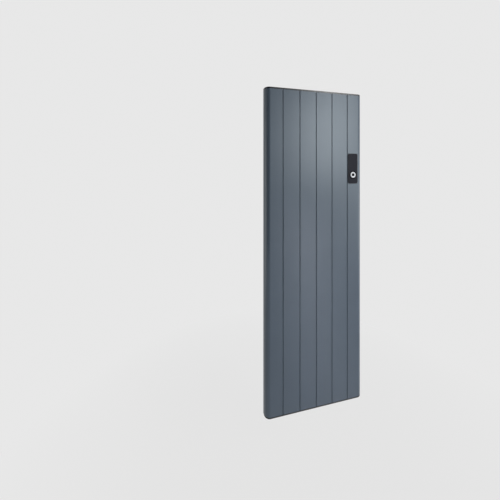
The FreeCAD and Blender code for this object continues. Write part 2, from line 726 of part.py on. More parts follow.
def wall_bracket(rail_z, above):
    """Hooked bracket: wall plate, arm and the upturned lip that carries the rail."""
    wall = -FRONT
    flange = rail_z + RAIL_HEIGHT / 2 - RAIL_WALL
    arm = flange - BRACKET_ARM_DROP
    tip = BODY_DEPTH + RAIL_WALL + BRACKET_REACH_GAP
    low = rail_z - HOLE_BELOW_RAIL - BRACKET_BELOW_HOLE
    high = rail_z + RAIL_HEIGHT / 2 + above
    half = BRACKET_LENGTH / 2
    plate_corners = rectangle(BRACKET_LENGTH, high - low, BRACKET_CHAMFER, 0, (low + high) / 2)
    plate = slab(plate_corners, wall - BRACKET_WALL, wall, True)
    hook = bar([
        (wall - BRACKET_WALL / 2, arm, 0),
        (wall - BRACKET_WALL / 2, arm - BRACKET_WALL, 0),
        (tip, arm - BRACKET_WALL, BRACKET_FOLD),
        (tip, flange, 0),
        (tip + BRACKET_WALL, flange, 0),
        (tip + BRACKET_WALL, arm, BRACKET_FOLD / 2),
    ], -half, half, True)
    holes = []
    for x in (-HOLE_SPACING / 2, HOLE_SPACING / 2):
        start = VECTOR(x, -BRACKET_WALL - CUT, rail_z - HOLE_BELOW_RAIL)
        holes.append(round_bar(HOLE_DIAMETER, start, TO_WALL, BRACKET_WALL + 2 * CUT))
    return cut_away(joined([plate, hook]), holes)


def latch_x(side):
    """Place along x of the latch on one side."""
    return side * (BRACKET_LENGTH / 2 - LATCH_INSET)


def latch_pin(side):
    """Pivot of a latch on the bracket: six-sided standoff, round journal and six-sided head."""
    x = latch_x(side)
    foot = LATCH_BACK + LATCH_SIDE_PLAY
    neck = LATCH_HEAD + LATCH_PIN_HEAD
    return joined([
        hex_bar(LATCH_STANDOFF, VECTOR(x, FRONT + foot, LATCH_Z), TO_WALL, -FRONT - BRACKET_WALL - foot),
        round_bar(LATCH_PIN_DIAMETER, VECTOR(x, FRONT + neck, LATCH_Z), TO_WALL, foot - neck),
        hex_bar(LATCH_STANDOFF, VECTOR(x, FRONT + LATCH_HEAD, LATCH_Z), TO_WALL, LATCH_PIN_HEAD),
    ])


def latch(side):
    """Turning catch: its rounded foot stands over the rail, its lever points up."""
    x = latch_x(side)
    start = VECTOR(x, FRONT + LATCH_FRONT, LATCH_Z)
    reach = LATCH_ABOVE_RAIL - LATCH_FOOT_GAP
    hub_corners = rectangle(LATCH_HUB, LATCH_HUB, LATCH_HUB_CHAMFER, x, LATCH_Z)
    hub = slab(hub_corners, LATCH_FRONT, LATCH_BACK, True)
    heel = slab(rectangle(LATCH_FOOT_WIDTH, 2 * reach, 0, x, LATCH_Z - reach), LATCH_FRONT, LATCH_BACK)
    heel = heel.common(round_bar(2 * reach, start, TO_WALL, LATCH_THICKNESS))
    lever_z = LATCH_Z + LATCH_LEVER_LENGTH / 2
    lever_corners = rectangle(LATCH_LEVER_WIDTH, LATCH_LEVER_LENGTH, LATCH_LEVER_CHAMFER, x, lever_z)
    middle = (LATCH_FRONT + LATCH_BACK) / 2
    half = LATCH_LEVER_THICKNESS / 2
    lever = slab(lever_corners, middle - half, middle + half, True)
    bore = round_bar(LATCH_PIN_DIAMETER + 2 * LATCH_PIN_FIT, start, TO_WALL, LATCH_THICKNESS)
    return cut_away(joined([hub, heel, lever]), [bore])


def board_post_places():
    """Places in x and z of the posts under the corners of the control board."""
    reach_x = BOARD_WIDTH / 2 - BOARD_POST / 2 - BOARD_POST_INSET
    reach_z = BOARD_HEIGHT / 2 - BOARD_POST / 2 - BOARD_POST_INSET
    return [(CONTROL_X + a * reach_x, CONTROL_Z + b * reach_z) for a in (-1, 1) for b in (-1, 1)]


def ribbon_opening(front, back):
    """Tool for an opening that the ribbon cable passes."""
    width = RIBBON_WIDTH + 2 * RIBBON_CLEARANCE
    height = RIBBON_THICKNESS + 2 * RIBBON_CLEARANCE
    return slab(rectangle(width, height, 0, CONTROL_X, CONTROL_Z), front - CUT, back + CUT)


def snap_hooks():
    """Wedges on the short sides of the control body that catch behind the skin."""
    start = SKIN + HOOK_CLEARANCE
    hooks = []
    for side in (-1, 1):
        wall = CONTROL_Z + side * BODY_HEIGHT / 2
        root = wall - side * CONTROL_WALL / 2
        corners = [(start, root, 0), (start, wall + side * HOOK_REACH, 0), (start + HOOK_LENGTH, root, 0)]
        for x in (CONTROL_X - BODY_WIDTH / 4, CONTROL_X + BODY_WIDTH / 4):
            hooks.append(bar(corners, x - HOOK_WIDTH / 2, x + HOOK_WIDTH / 2))
    return hooks


def control_bezel():
    """Housing of the control: proud rim, ledge for the glass, deep body with posts and snap hooks."""
    rim_corners = rectangle(CONTROL_WIDTH, CONTROL_HEIGHT, CONTROL_CORNER, CONTROL_X, CONTROL_Z)
    rim = slab(rim_corners, -CONTROL_PROUD, 0)
    front_edges = [edge for edge in rim.Edges if abs(edge.BoundBox.YMax - (FRONT - CONTROL_PROUD)) < 1e-6]
    rim = rim.makeChamfer(CONTROL_RIM_CHAMFER, front_edges)
    body_corners = rectangle(BODY_WIDTH, BODY_HEIGHT, CONTROL_BODY_CHAMFER, CONTROL_X, CONTROL_Z)
    body = slab(body_corners, GLASS_BACK, CONTROL_BODY_DEPTH, True)
    solid = joined([rim, body] + snap_hooks())
    floor = CONTROL_BODY_DEPTH - CONTROL_WALL
    cavity = slab(rectangle(INNER_WIDTH, INNER_HEIGHT, 0, CONTROL_X, CONTROL_Z), GLASS_BACK - CUT, floor)
    seat = BOARD_DEPTH + BOARD_THICKNESS
    posts = [slab(rectangle(BOARD_POST, BOARD_POST, 0, x, z), seat, floor) for x, z in board_post_places()]
    pane = rectangle(GLASS_WIDTH, GLASS_HEIGHT, GLASS_CORNER, CONTROL_X, CONTROL_Z)
    return cut_away(solid, [
        slab(pane, -CONTROL_PROUD - CUT, GLASS_BACK),
        cavity.cut(Part.Compound(posts)),
        ribbon_opening(floor, CONTROL_BODY_DEPTH),
    ])


def control_glass():
    """Black glass flush with the rim, with the round opening of the dial."""
    width = GLASS_WIDTH - 2 * GLASS_CLEARANCE
    height = GLASS_HEIGHT - 2 * GLASS_CLEARANCE
    corners = rectangle(width, height, GLASS_CORNER - GLASS_CLEARANCE, CONTROL_X, CONTROL_Z)
    sheet = slab(corners, -CONTROL_PROUD, GLASS_BACK)
    start = VECTOR(CONTROL_X, FRONT - CONTROL_PROUD - CUT, DIAL_Z)
    opening = round_bar(DIAL_DIAMETER + 2 * DIAL_CLEARANCE, start, TO_WALL, GLASS_THICKNESS + 2 * CUT)
    return cut_away(sheet, [opening])


def display_module():
    """Display against the glass on its light box, which stands on the board."""
    z = CONTROL_TOP - DISPLAY_DROP - DISPLAY_HEIGHT / 2
    panel_corners = rectangle(DISPLAY_WIDTH, DISPLAY_HEIGHT, 0, CONTROL_X, z)
    panel = slab(panel_corners, GLASS_BACK, GLASS_BACK + DISPLAY_THICKNESS)
    box_width = DISPLAY_WIDTH - 2 * DISPLAY_STEP
    box_height = DISPLAY_HEIGHT - 2 * DISPLAY_STEP
    return joined([panel, slab(rectangle(box_width, box_height, 0, CONTROL_X, z), GLASS_BACK, BOARD_DEPTH)])


def control_board():
    """Printed circuit board on the posts of the housing."""
    corners = rectangle(BOARD_WIDTH, BOARD_HEIGHT, 0, CONTROL_X, CONTROL_Z)
    return slab(corners, BOARD_DEPTH, BOARD_DEPTH + BOARD_THICKNESS)


def dial_encoder():
    """Encoder on the board with the hollow bush that the dial turns on."""
    case = slab(rectangle(ENCODER_SIZE, ENCODER_SIZE, 0, CONTROL_X, DIAL_Z), ENCODER_FRONT, BOARD_DEPTH)
    start = VECTOR(CONTROL_X, FRONT + BUSH_TOP, DIAL_Z)
    length = BOARD_DEPTH - BUSH_TOP
    bush = round_bar(DIAL_BUSH_DIAMETER, start, TO_WALL, length)
    return cut_away(joined([case, bush]), [round_bar(BUSH_BORE, start, TO_WALL, length)])


def dial_ring():
    """Turning ring: stands proud of the glass, chamfered in front, and runs on the bush of the encoder."""
    outer = DIAL_DIAMETER / 2
    bore = DIAL_BUSH_DIAMETER / 2 + DIAL_FIT
    end = ENCODER_FRONT - DIAL_END_GAP
    corners = [(bore, DIAL_TOP, 0), (outer, DIAL_TOP, DIAL_CHAMFER), (outer, end, 0), (bore, end, 0)]
    return turned(corners, CONTROL_X, DIAL_Z)


def dial_button():
    """Push button in the middle of the dial, guided in the bush."""
    top = DIAL_TOP + BUTTON_SINK
    end = TACT_TOP - BUTTON_TRAVEL - BUTTON_END_GAP
    return round_bar(BUSH_BORE - 2 * BUTTON_FIT, VECTOR(CONTROL_X, FRONT + top, DIAL_Z), TO_WALL, end - top)


def tact_switch():
    """Small push switch on the board, inside the bore of the encoder."""
    shoulder = TACT_TOP + TACT_PLUNGER_HEIGHT
    case = slab(rectangle(TACT_SIZE, TACT_SIZE, 0, CONTROL_X, DIAL_Z), shoulder, BOARD_DEPTH)
    plunger = slab(rectangle(TACT_PLUNGER, TACT_PLUNGER, 0, CONTROL_X, DIAL_Z), TACT_TOP, shoulder)
    return joined([case, plunger])


def ribbon_cable():
    """Flat cable between the two boards."""
    corners = rectangle(RIBBON_WIDTH, RIBBON_THICKNESS, 0, CONTROL_X, CONTROL_Z)
    return slab(corners, BOARD_DEPTH + BOARD_THICKNESS, POWER_BOARD_FRONT)


def mounting_plate():
    """Plate behind the right-hand profile that carries the rear electrics."""
    width = BOX_WIDTH - 2 * BOX_WALL - 2 * PLATE_FIT
    height = BOX_HEIGHT - 2 * BOX_WALL - 2 * PLATE_FIT
    middle = (BOX_TOP + BOX_BOTTOM) / 2
    plate_corners = rectangle(width, height, BOX_CORNER - BOX_WALL, BOX_X, middle)
    pieces = [slab(plate_corners, BODY_DEPTH, PLATE_BACK, True)]
    inset = STANDOFF_SIZE / 2 + STANDOFF_INSET
    for x in (POWER_LEFT + inset, POWER_RIGHT - inset):
        for z in (POWER_LOW + inset, POWER_HIGH - inset):
            standoff = rectangle(STANDOFF_SIZE, STANDOFF_SIZE, 0, x, z)
            pieces.append(slab(standoff, PLATE_BACK, POWER_BOARD_FRONT))
    entry_size = TRUNK_SIZE + 2 * TRUNK_ENTRY_CLEARANCE
    entry = rectangle(entry_size, entry_size, 0, TRUNK_X, TERMINAL_Z)
    tools = [ribbon_opening(BODY_DEPTH, PLATE_BACK), slab(entry, BODY_DEPTH - CUT, PLATE_BACK + CUT)]
    tools += [screw_slot(BOX_X, CONTROL_Z + side * PLATE_SCREW_REACH, PLATE_THICKNESS) for side in (-1, 1)]
    return cut_away(joined(pieces), tools)


def power_board():
    """Printed circuit board with the power stage."""
    back = POWER_BOARD_FRONT + BOARD_THICKNESS
    return block(POWER_LEFT, POWER_RIGHT, POWER_BOARD_FRONT, back, POWER_LOW, POWER_HIGH)


def on_power_board(width, length, height, z):
    """Moulded component standing on the back of the power board."""
    foot = POWER_BOARD_FRONT + BOARD_THICKNESS
    return slab(rectangle(width, length, 0, POWER_X, z), foot, foot + height)


def relay():
    """Switching relay on the power board."""
    return on_power_board(RELAY_WIDTH, RELAY_LENGTH, RELAY_HEIGHT, POWER_HIGH - RELAY_DROP - RELAY_LENGTH / 2)


def filter_capacitor():
    """Film capacitor on the power board."""
    z = POWER_LOW + CAPACITOR_RISE + CAPACITOR_LENGTH / 2
    return on_power_board(CAPACITOR_WIDTH, CAPACITOR_LENGTH, CAPACITOR_HEIGHT, z)


def terminal_block():
    """Terminal block on the mounting plate; the loom ends on its front."""
    front = PLATE_BACK + TERMINAL_FOOT
    back = PLATE_BACK + TERMINAL_DEPTH
    pieces = [slab(rectangle(TERMINAL_WIDTH, TERMINAL_HEIGHT, 0, TERMINAL_X, TERMINAL_Z), front, back)]
    reach = (TERMINAL_HEIGHT - TERMINAL_FOOT_HEIGHT) / 2
    for z in (TERMINAL_Z - reach, TERMINAL_Z + reach):
        foot = rectangle(TERMINAL_WIDTH, TERMINAL_FOOT_HEIGHT, 0, TERMINAL_X, z)
        pieces.append(slab(foot, PLATE_BACK, front))
    pockets = []
    for pole in range(TERMINAL_POLES):
        x = TERMINAL_X + TERMINAL_WIDTH * ((pole + 0.5) / TERMINAL_POLES - 0.5)
        corners = rectangle(TERMINAL_POCKET, TERMINAL_POCKET, 0, x, TERMINAL_Z)
        pockets.append(slab(corners, back - TERMINAL_POCKET_DEPTH, back + CUT))
    return cut_away(joined(pieces), pockets)


def cover_screw_places():
    """Places in x and z of the rear cover's screws."""
    inset = BOX_WALL + BOX_POST / 2 + BOX_POST_GAP
    high = BOX_TOP - inset
    return [(BOX_LEFT + inset, high), (BOX_RIGHT - inset, high), (BOX_RIGHT - inset, BOX_BOTTOM + inset)]


def switch_outline(growth):
    """Outline in depth and z of the body of the rocker switch, or of a part that stands out from it."""
    width = 2 * (WELL_HALF_WIDTH + SWITCH_WALL + growth)
    length = 2 * (WELL_HALF_LENGTH + SWITCH_WALL + growth)
    return rectangle(width, length, 0, SWITCH_Y - FRONT, SWITCH_Z)


def rear_cover():
    """Moulded box over the rear electrics, open towards the profile."""
    middle = (BOX_TOP + BOX_BOTTOM) / 2
    shell = slab(rectangle(BOX_WIDTH, BOX_HEIGHT, BOX_CORNER, BOX_X, middle), BODY_DEPTH, BOX_BACK, True)
    back_edges = [edge for edge in shell.Edges if abs(edge.BoundBox.YMin - (FRONT + BOX_BACK)) < 1e-6]
    shell = shell.makeChamfer(BOX_CHAMFER, back_edges)
    inner = BOX_BACK - BOX_WALL
    inner_width = BOX_WIDTH - 2 * BOX_WALL
    inner_height = BOX_HEIGHT - 2 * BOX_WALL
    inside = rectangle(inner_width, inner_height, BOX_CORNER - BOX_WALL, BOX_X, middle)
    hollow = slab(inside, BODY_DEPTH - CUT, inner, True)
    posts = []
    tools = []
    for x, z in cover_screw_places():
        posts.append(slab(rectangle(BOX_POST, BOX_POST, 0, x, z), PLATE_BACK, BOX_BACK))
        hole = rectangle(BOX_SCREW_HOLE, BOX_SCREW_HOLE, 0, x, z)
        tools.append(slab(hole, BODY_DEPTH - CUT, BOX_BACK + CUT))
    tools.append(hollow.cut(Part.Compound(posts)))
    wall_start = VECTOR(GLAND_X, GLAND_Y, BOX_BOTTOM - CUT)
    tools.append(hex_bar(GLAND_NECK + 2 * GLAND_FIT, wall_start, UP, BOX_WALL + 2 * CUT))
    sensor_hole = SENSOR_SIZE + 2 * SENSOR_FIT
    sensor_depth = GLAND_Y - FRONT
    sensor_corners = rectangle(sensor_hole, sensor_hole, 0, SENSOR_X, sensor_depth)
    tools.append(upright(sensor_corners, BOX_BOTTOM - CUT, BOX_BOTTOM + BOX_WALL + CUT))
    slit = 2 * LEAD_FIT
    lead_corners = rectangle(LEAD_THICKNESS + slit, LEAD_WIDTH + slit, 0, LEAD_DEPTH, CUTOUT_Z)
    tools.append(bar(lead_corners, BOX_LEFT - CUT, BOX_LEFT + BOX_WALL + CUT))
    tools.append(bar(switch_outline(0), BOX_RIGHT - BOX_WALL - CUT, BOX_RIGHT + CUT))
    for index in range(LOUVRE_COUNT):
        z = BOX_TOP - LOUVRE_DROP - index * LOUVRE_PITCH
        tools.append(slab(rectangle(LOUVRE_WIDTH, LOUVRE_HEIGHT, 0, BOX_X, z), inner - CUT, BOX_BACK + CUT))
    return cut_away(shell, tools)


def cable_gland():
    """Gland for the mains cord: six-sided flange and nut below the wall, neck and lock nut inside."""
    wall = VECTOR(GLAND_X, GLAND_Y, BOX_BOTTOM)
    nut_foot = wall - UP * (GLAND_FLANGE_THICKNESS + GLAND_NUT_LENGTH)
    length = GLAND_FLANGE_THICKNESS + GLAND_NUT_LENGTH + BOX_WALL + GLAND_INSIDE
    body = joined([
        hex_bar(GLAND_FLANGE, wall - UP * GLAND_FLANGE_THICKNESS, UP, GLAND_FLANGE_THICKNESS),
        hex_bar(GLAND_NUT, nut_foot, UP, GLAND_NUT_LENGTH),
        hex_bar(GLAND_NECK, wall, UP, BOX_WALL + GLAND_INSIDE),
        hex_bar(GLAND_LOCK_NUT, wall + UP * BOX_WALL, UP, GLAND_LOCK_NUT_HEIGHT),
    ])
    return cut_away(body, [round_bar(GLAND_BORE, nut_foot, UP, length)])


def room_sensor():
    """Nose of the room thermostat below the rear box."""
    depth = GLAND_Y - FRONT
    stem = rectangle(SENSOR_SIZE, SENSOR_SIZE, SENSOR_SIZE / 4, SENSOR_X, depth)
    collar_size = SENSOR_SIZE + 2 * SENSOR_COLLAR
    collar = rectangle(collar_size, collar_size, SENSOR_COLLAR, SENSOR_X, depth)
    return joined([
        upright(stem, BOX_BOTTOM - SENSOR_LENGTH, BOX_BOTTOM + BOX_WALL + SENSOR_COLLAR, True),
        upright(collar, BOX_BOTTOM - SENSOR_COLLAR, BOX_BOTTOM, True),
    ])


def thermal_cutout():
    """Disc thermostat on the screw port of the neighbouring profile, with its plug."""
    flange_corners = rectangle(CUTOUT_FLANGE_WIDTH, CUTOUT_FLANGE_LENGTH, 0, CUTOUT_X, CUTOUT_Z)
    plug_left = PLUG_RIGHT - CUTOUT_PLUG
    half = CUTOUT_PLUG / 2
    foot = BODY_DEPTH + CUTOUT_FLANGE_THICKNESS
    top = BODY_DEPTH + CUTOUT_HEIGHT
    return joined([
        slab(flange_corners, BODY_DEPTH, foot),
        round_bar(CUTOUT_DIAMETER, VECTOR(CUTOUT_X, BACK, CUTOUT_Z), TO_WALL, CUTOUT_HEIGHT),
        block(plug_left, PLUG_RIGHT, foot, top, CUTOUT_Z - half, CUTOUT_Z + half),
    ])


def cutout_lead():
    """Flat lead from the cut-out into the rear box."""
    corners = rectangle(LEAD_THICKNESS, LEAD_WIDTH, 0, LEAD_DEPTH, CUTOUT_Z)
    return bar(corners, PLUG_RIGHT, BOX_LEFT + BOX_WALL + LEAD_WIDTH / 2)


def switch_frame():
    """Frame and body of the rocker switch with the pivot pin across it."""
    deep = BOX_RIGHT - SWITCH_BODY_DEPTH
    face_x = BOX_RIGHT + SWITCH_FLANGE_THICKNESS
    case = bar(switch_outline(-SWITCH_FIT), deep, BOX_RIGHT)
    flange = bar(switch_outline(SWITCH_FLANGE), BOX_RIGHT, face_x)
    outer_edges = [edge for edge in flange.Edges if abs(edge.BoundBox.XMin - face_x) < 1e-6]
    flange = flange.makeChamfer(SWITCH_CHAMFER, outer_edges)
    well = bar(switch_outline(-SWITCH_WALL), deep + SWITCH_WALL, face_x + CUT)
    pin_start = VECTOR(PIVOT_X, SWITCH_Y - WELL_HALF_WIDTH, SWITCH_Z)
    pin = round_bar(ROCKER_PIVOT, pin_start, TO_WALL, 2 * WELL_HALF_WIDTH)
    return joined([joined([case, flange]).cut(well), pin])


def power_rocker():
    """Rocker at one end of its tilt: two faces that meet in a shallow valley, bored for the pivot."""
    half = ROCKER_LENGTH / 2
    tip = half - ROCKER_TAPER
    top = BOX_RIGHT + SWITCH_FLANGE_THICKNESS + ROCKER_RISE - PIVOT_X
    valley = top - math.tan(math.radians(ROCKER_TILT)) * half
    hub = ROCKER_PIVOT / 2 + ROCKER_PIVOT_WALL
    face = outline_face([
        (top, tip, 0),
        (valley, 0, 0),
        (top, -tip, 0),
        (top - ROCKER_EDGE, -half, 0),
        (-hub, -hub / 2, 0),
        (-hub, hub / 2, 0),
        (top - ROCKER_EDGE, half, 0),
    ])
    face.rotate(ORIGIN, VECTOR(1, 0, 0), 90)
    face.translate(VECTOR(0, -ROCKER_WIDTH / 2, 0))
    solid = face.extrude(VECTOR(0, ROCKER_WIDTH, 0))
    start = VECTOR(0, -ROCKER_WIDTH / 2, 0)
    solid = cut_away(solid, [round_bar(ROCKER_PIVOT + 2 * ROCKER_PIVOT_FIT, start, TO_WALL, ROCKER_WIDTH)])
    solid.rotate(ORIGIN, TO_WALL, ROCKER_TILT)
    solid.translate(VECTOR(PIVOT_X, SWITCH_Y, SWITCH_Z))
    return solid


os.makedirs("parts", exist_ok=True)

PROFILE_NAMES = ["left_end_profile"]
PROFILE_NAMES += ["middle_profile_%d" % number for number in range(1, PROFILE_COUNT - 1)]
PROFILE_NAMES += ["right_end_profile"]
for number, name in enumerate(PROFILE_NAMES):
    save(name, profile(number))

tongue_offset = FIN_FIRST + FIN_PITCH / 2
outer_tongues = [CENTRES[0] - tongue_offset, CENTRES[-1] + tongue_offset]
inner_tongues = [x - tongue_offset for x in CENTRES[1:3]] + [x + tongue_offset for x in CENTRES[-3:-1]]
save("top_outlet_cap", end_cap(outer_tongues + inner_tongues, True))
save("bottom_cap", upside_down(end_cap(outer_tongues, False)))

for number, x in enumerate(CENTRES[:-1], 1):
    save("heating_element_%d" % number, heating_element(x))
save("element_terminals", Part.Compound([element_terminal(x) for x in CENTRES[:-1]]))
save("wiring_harness", wiring_harness())
save("wiring_cover", wiring_cover())

for name, z in zip(("top", "middle", "bottom"), RAIL_HEIGHTS):
    save("cross_rail_" + name, cross_rail(z))
save("rail_screws", Part.Compound([screw(point, SCREW_GRIP) for point in rail_screw_places()]))
save("wall_bracket_top", wall_bracket(TOP_RAIL_Z, LATCH_ABOVE_RAIL + LATCH_PLATE_ABOVE))
save("wall_bracket_bottom", wall_bracket(BOTTOM_RAIL_Z, 0))
save("latch_pins", Part.Compound([latch_pin(-1), latch_pin(1)]))
save("bracket_latch_left", latch(-1))
save("bracket_latch_right", latch(1))

save("control_bezel", control_bezel())
save("control_glass", control_glass())
save("display_module", display_module())
save("control_board", control_board())
save("dial_encoder", dial_encoder())
save("tact_switch", tact_switch())
save("dial_ring", dial_ring())
save("dial_button", dial_button())
save("ribbon_cable", ribbon_cable())

save("mounting_plate", mounting_plate())
save("power_board", power_board())
save("relay", relay())
save("filter_capacitor", filter_capacitor())
save("terminal_block", terminal_block())
save("rear_cover", rear_cover())
cover_grip = BOX_DEPTH - PLATE_THICKNESS
save("cover_screws", Part.Compound([
    screw(VECTOR(x, FRONT + BOX_BACK, z), cover_grip) for x, z in cover_screw_places()]))
save("switch_frame", switch_frame())
save("power_rocker", power_rocker())
save("cable_gland", cable_gland())
save("room_sensor", room_sensor())
save("thermal_cutout", thermal_cutout())
save("cutout_lead", cutout_lead())
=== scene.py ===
# %% [markdown]
# A tall electric radiator, built up piece by piece on a fixed frame.
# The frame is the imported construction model: every node is already in its place, in metres, with +Z up and
# the wall at y = 0. The body could be modelled again here, but then it would drift from the construction, so
# this file only adds to it: edges, finishes, small hardware, a camera and a studio.

# %% Load the frame
import json
import math
import bmesh
import bpy
from mathutils import Matrix, Vector


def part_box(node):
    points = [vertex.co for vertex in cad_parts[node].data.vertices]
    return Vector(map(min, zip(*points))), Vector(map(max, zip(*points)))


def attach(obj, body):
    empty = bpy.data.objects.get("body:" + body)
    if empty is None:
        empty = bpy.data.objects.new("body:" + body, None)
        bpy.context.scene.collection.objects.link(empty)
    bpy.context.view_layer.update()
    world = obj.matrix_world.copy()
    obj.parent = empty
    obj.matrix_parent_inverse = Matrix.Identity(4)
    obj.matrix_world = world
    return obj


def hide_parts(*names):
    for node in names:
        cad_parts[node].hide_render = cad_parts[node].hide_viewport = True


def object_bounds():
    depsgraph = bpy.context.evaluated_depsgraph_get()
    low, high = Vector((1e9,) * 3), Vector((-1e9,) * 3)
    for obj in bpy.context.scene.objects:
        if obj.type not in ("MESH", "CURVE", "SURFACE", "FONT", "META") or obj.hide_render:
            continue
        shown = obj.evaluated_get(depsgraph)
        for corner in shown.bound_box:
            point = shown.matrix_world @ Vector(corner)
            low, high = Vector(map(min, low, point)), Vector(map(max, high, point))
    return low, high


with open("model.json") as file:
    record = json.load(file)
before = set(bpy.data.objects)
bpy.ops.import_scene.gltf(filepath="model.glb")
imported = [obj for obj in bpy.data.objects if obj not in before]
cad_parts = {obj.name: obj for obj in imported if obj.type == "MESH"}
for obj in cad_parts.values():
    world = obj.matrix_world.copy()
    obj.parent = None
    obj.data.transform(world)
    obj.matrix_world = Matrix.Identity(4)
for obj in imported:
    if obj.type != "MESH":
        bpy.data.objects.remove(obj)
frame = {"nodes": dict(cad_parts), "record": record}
cad_low, cad_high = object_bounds()
nodes = frame["nodes"]
MM = 0.001
print("frame", len(nodes), "nodes,", [round(side, 3) for side in cad_high - cad_low], "m")

# %% [markdown]
# The camera stands at about the eye height of a person who looks at the radiator from its left.
# It is level, so upright edges stay parallel, and the picture is framed by moving the sensor down instead of
# tilting the camera. A tilt would make the sides run together, which a view of this kind doesn't show.
# Place, turn and focal length come from a fit to the outline and the grooves, in pixels of a 500 by 500
# frame. The fit holds the sensor's move small, because the same move stays in views from other sides.

# %% Camera
FRAME_PIXELS = 500
FOCAL_PIXELS = 236.9
HORIZON_ROW = 175.0
CAMERA_TURN = math.radians(13.38)
CAMERA_AT = Vector((-0.5632, -1.0959, 0.3510))
LEVEL = math.pi / 2

camera_data = bpy.data.cameras.new("camera")
camera_data.lens = FOCAL_PIXELS / FRAME_PIXELS * camera_data.sensor_width
camera_data.shift_y = (HORIZON_ROW - FRAME_PIXELS / 2) / FRAME_PIXELS
camera = bpy.data.objects.new("camera", camera_data)
camera.location = CAMERA_AT
camera.rotation_euler = (LEVEL, 0, -CAMERA_TURN)
bpy.context.scene.collection.objects.link(camera)
bpy.context.scene.camera = camera
print("camera lens", round(camera_data.lens, 2), "mm, shift", round(camera_data.shift_y, 3))

# %% [markdown]
# Materials, the surroundings and Geometry Nodes are all trees of nodes. They could be wired by hand, with a
# line for each node and each link, but such lines are hard to read, so three small classes do it.
# The first is a Signal, a number on its way through a tree. Python's own operators on Signals add Math nodes,
# so a pattern reads like the sum that it is.

# %% Signals
class Signal:
    """A number that a tree of nodes passes on."""

    def __init__(self, wiring, socket):
        self.wiring = wiring
        self.socket = socket

    def combine(self, operation, first, second):
        made = self.wiring.node("ShaderNodeMath", {"operation": operation}, {0: first, 1: second})
        return Signal(self.wiring, made.outputs[0])

    def __add__(self, other):
        return self.combine("ADD", self, other)

    def __sub__(self, other):
        return self.combine("SUBTRACT", self, other)

    def __rsub__(self, other):
        return self.combine("SUBTRACT", other, self)

    def __mul__(self, other):
        return self.combine("MULTIPLY", self, other)

    def __pow__(self, other):
        return self.combine("POWER", self, other)

    def __rpow__(self, other):
        return self.combine("POWER", other, self)

    __radd__ = __add__
    __rmul__ = __mul__

    def sine(self):
        return self.combine("SINE", self, 0.0)

    def above(self, limit):
        """1 where the number is above the limit, 0 elsewhere."""
        return self.combine("GREATER_THAN", self, limit)

    def at_most(self, limit):
        return self.combine("MINIMUM", self, limit)

    def lifted(self):
        """A swing from -1 to 1 as one from 0 to 1."""
        return self * 0.5 + 0.5


print("signals ready")

# %% [markdown]
# The second is a Wiring, which holds a tree. Every node in this file comes from its one method, node, which
# takes the node's type, its settings and what goes into its sockets: a number, a colour, a Signal or another
# node's output. Settings come first, because some of them change which sockets a node has.

# %% Wirings
class Wiring:
    """A tree of nodes, written as Python."""

    def __init__(self, tree):
        self.tree = tree

    def node(self, kind, settings, inputs):
        made = self.tree.nodes.new(kind)
        for name, value in settings.items():
            setattr(made, name, value)
        for key, value in inputs.items():
            self.feed(made.inputs[key], value)
        return made

    def feed(self, socket, value):
        """Sets or links a socket; a list links several outputs to it."""
        if isinstance(value, list):
            for single in value:
                self.feed(socket, single)
            return
        if isinstance(value, Signal):
            value = value.socket
        if isinstance(value, bpy.types.NodeSocket):
            self.tree.links.new(value, socket)
        else:
            socket.default_value = value

    def signal(self, kind, settings, inputs, output):
        return Signal(self, self.node(kind, settings, inputs).outputs[output])

    def seen(self):
        """1 for camera rays, mirrored rays and rays through glass; 0 for light that bounces about."""
        rays = self.node("ShaderNodeLightPath", {}, {}).outputs
        names = ["Is Camera Ray", "Is Glossy Ray", "Is Transmission Ray"]
        camera_ray, glossy_ray, glass_ray = [Signal(self, rays[name]) for name in names]
        return (camera_ray + glossy_ray + glass_ray).at_most(1.0)


print("wirings ready")

# %% [markdown]
# The third is a Finish, the Wiring of one material. Pictures could give each surface its detail, but they
# blur up close and need files, so patterns are worked out from the place of a point on the object, in metres.
# The methods are what several finishes share: soft noise, hard grains, two-tone colour and a relief.

# %% Finishes
def shade(colour, factor):
    """A colour times a factor, with full alpha."""
    return tuple(part * factor for part in colour[:3]) + (1.0,)


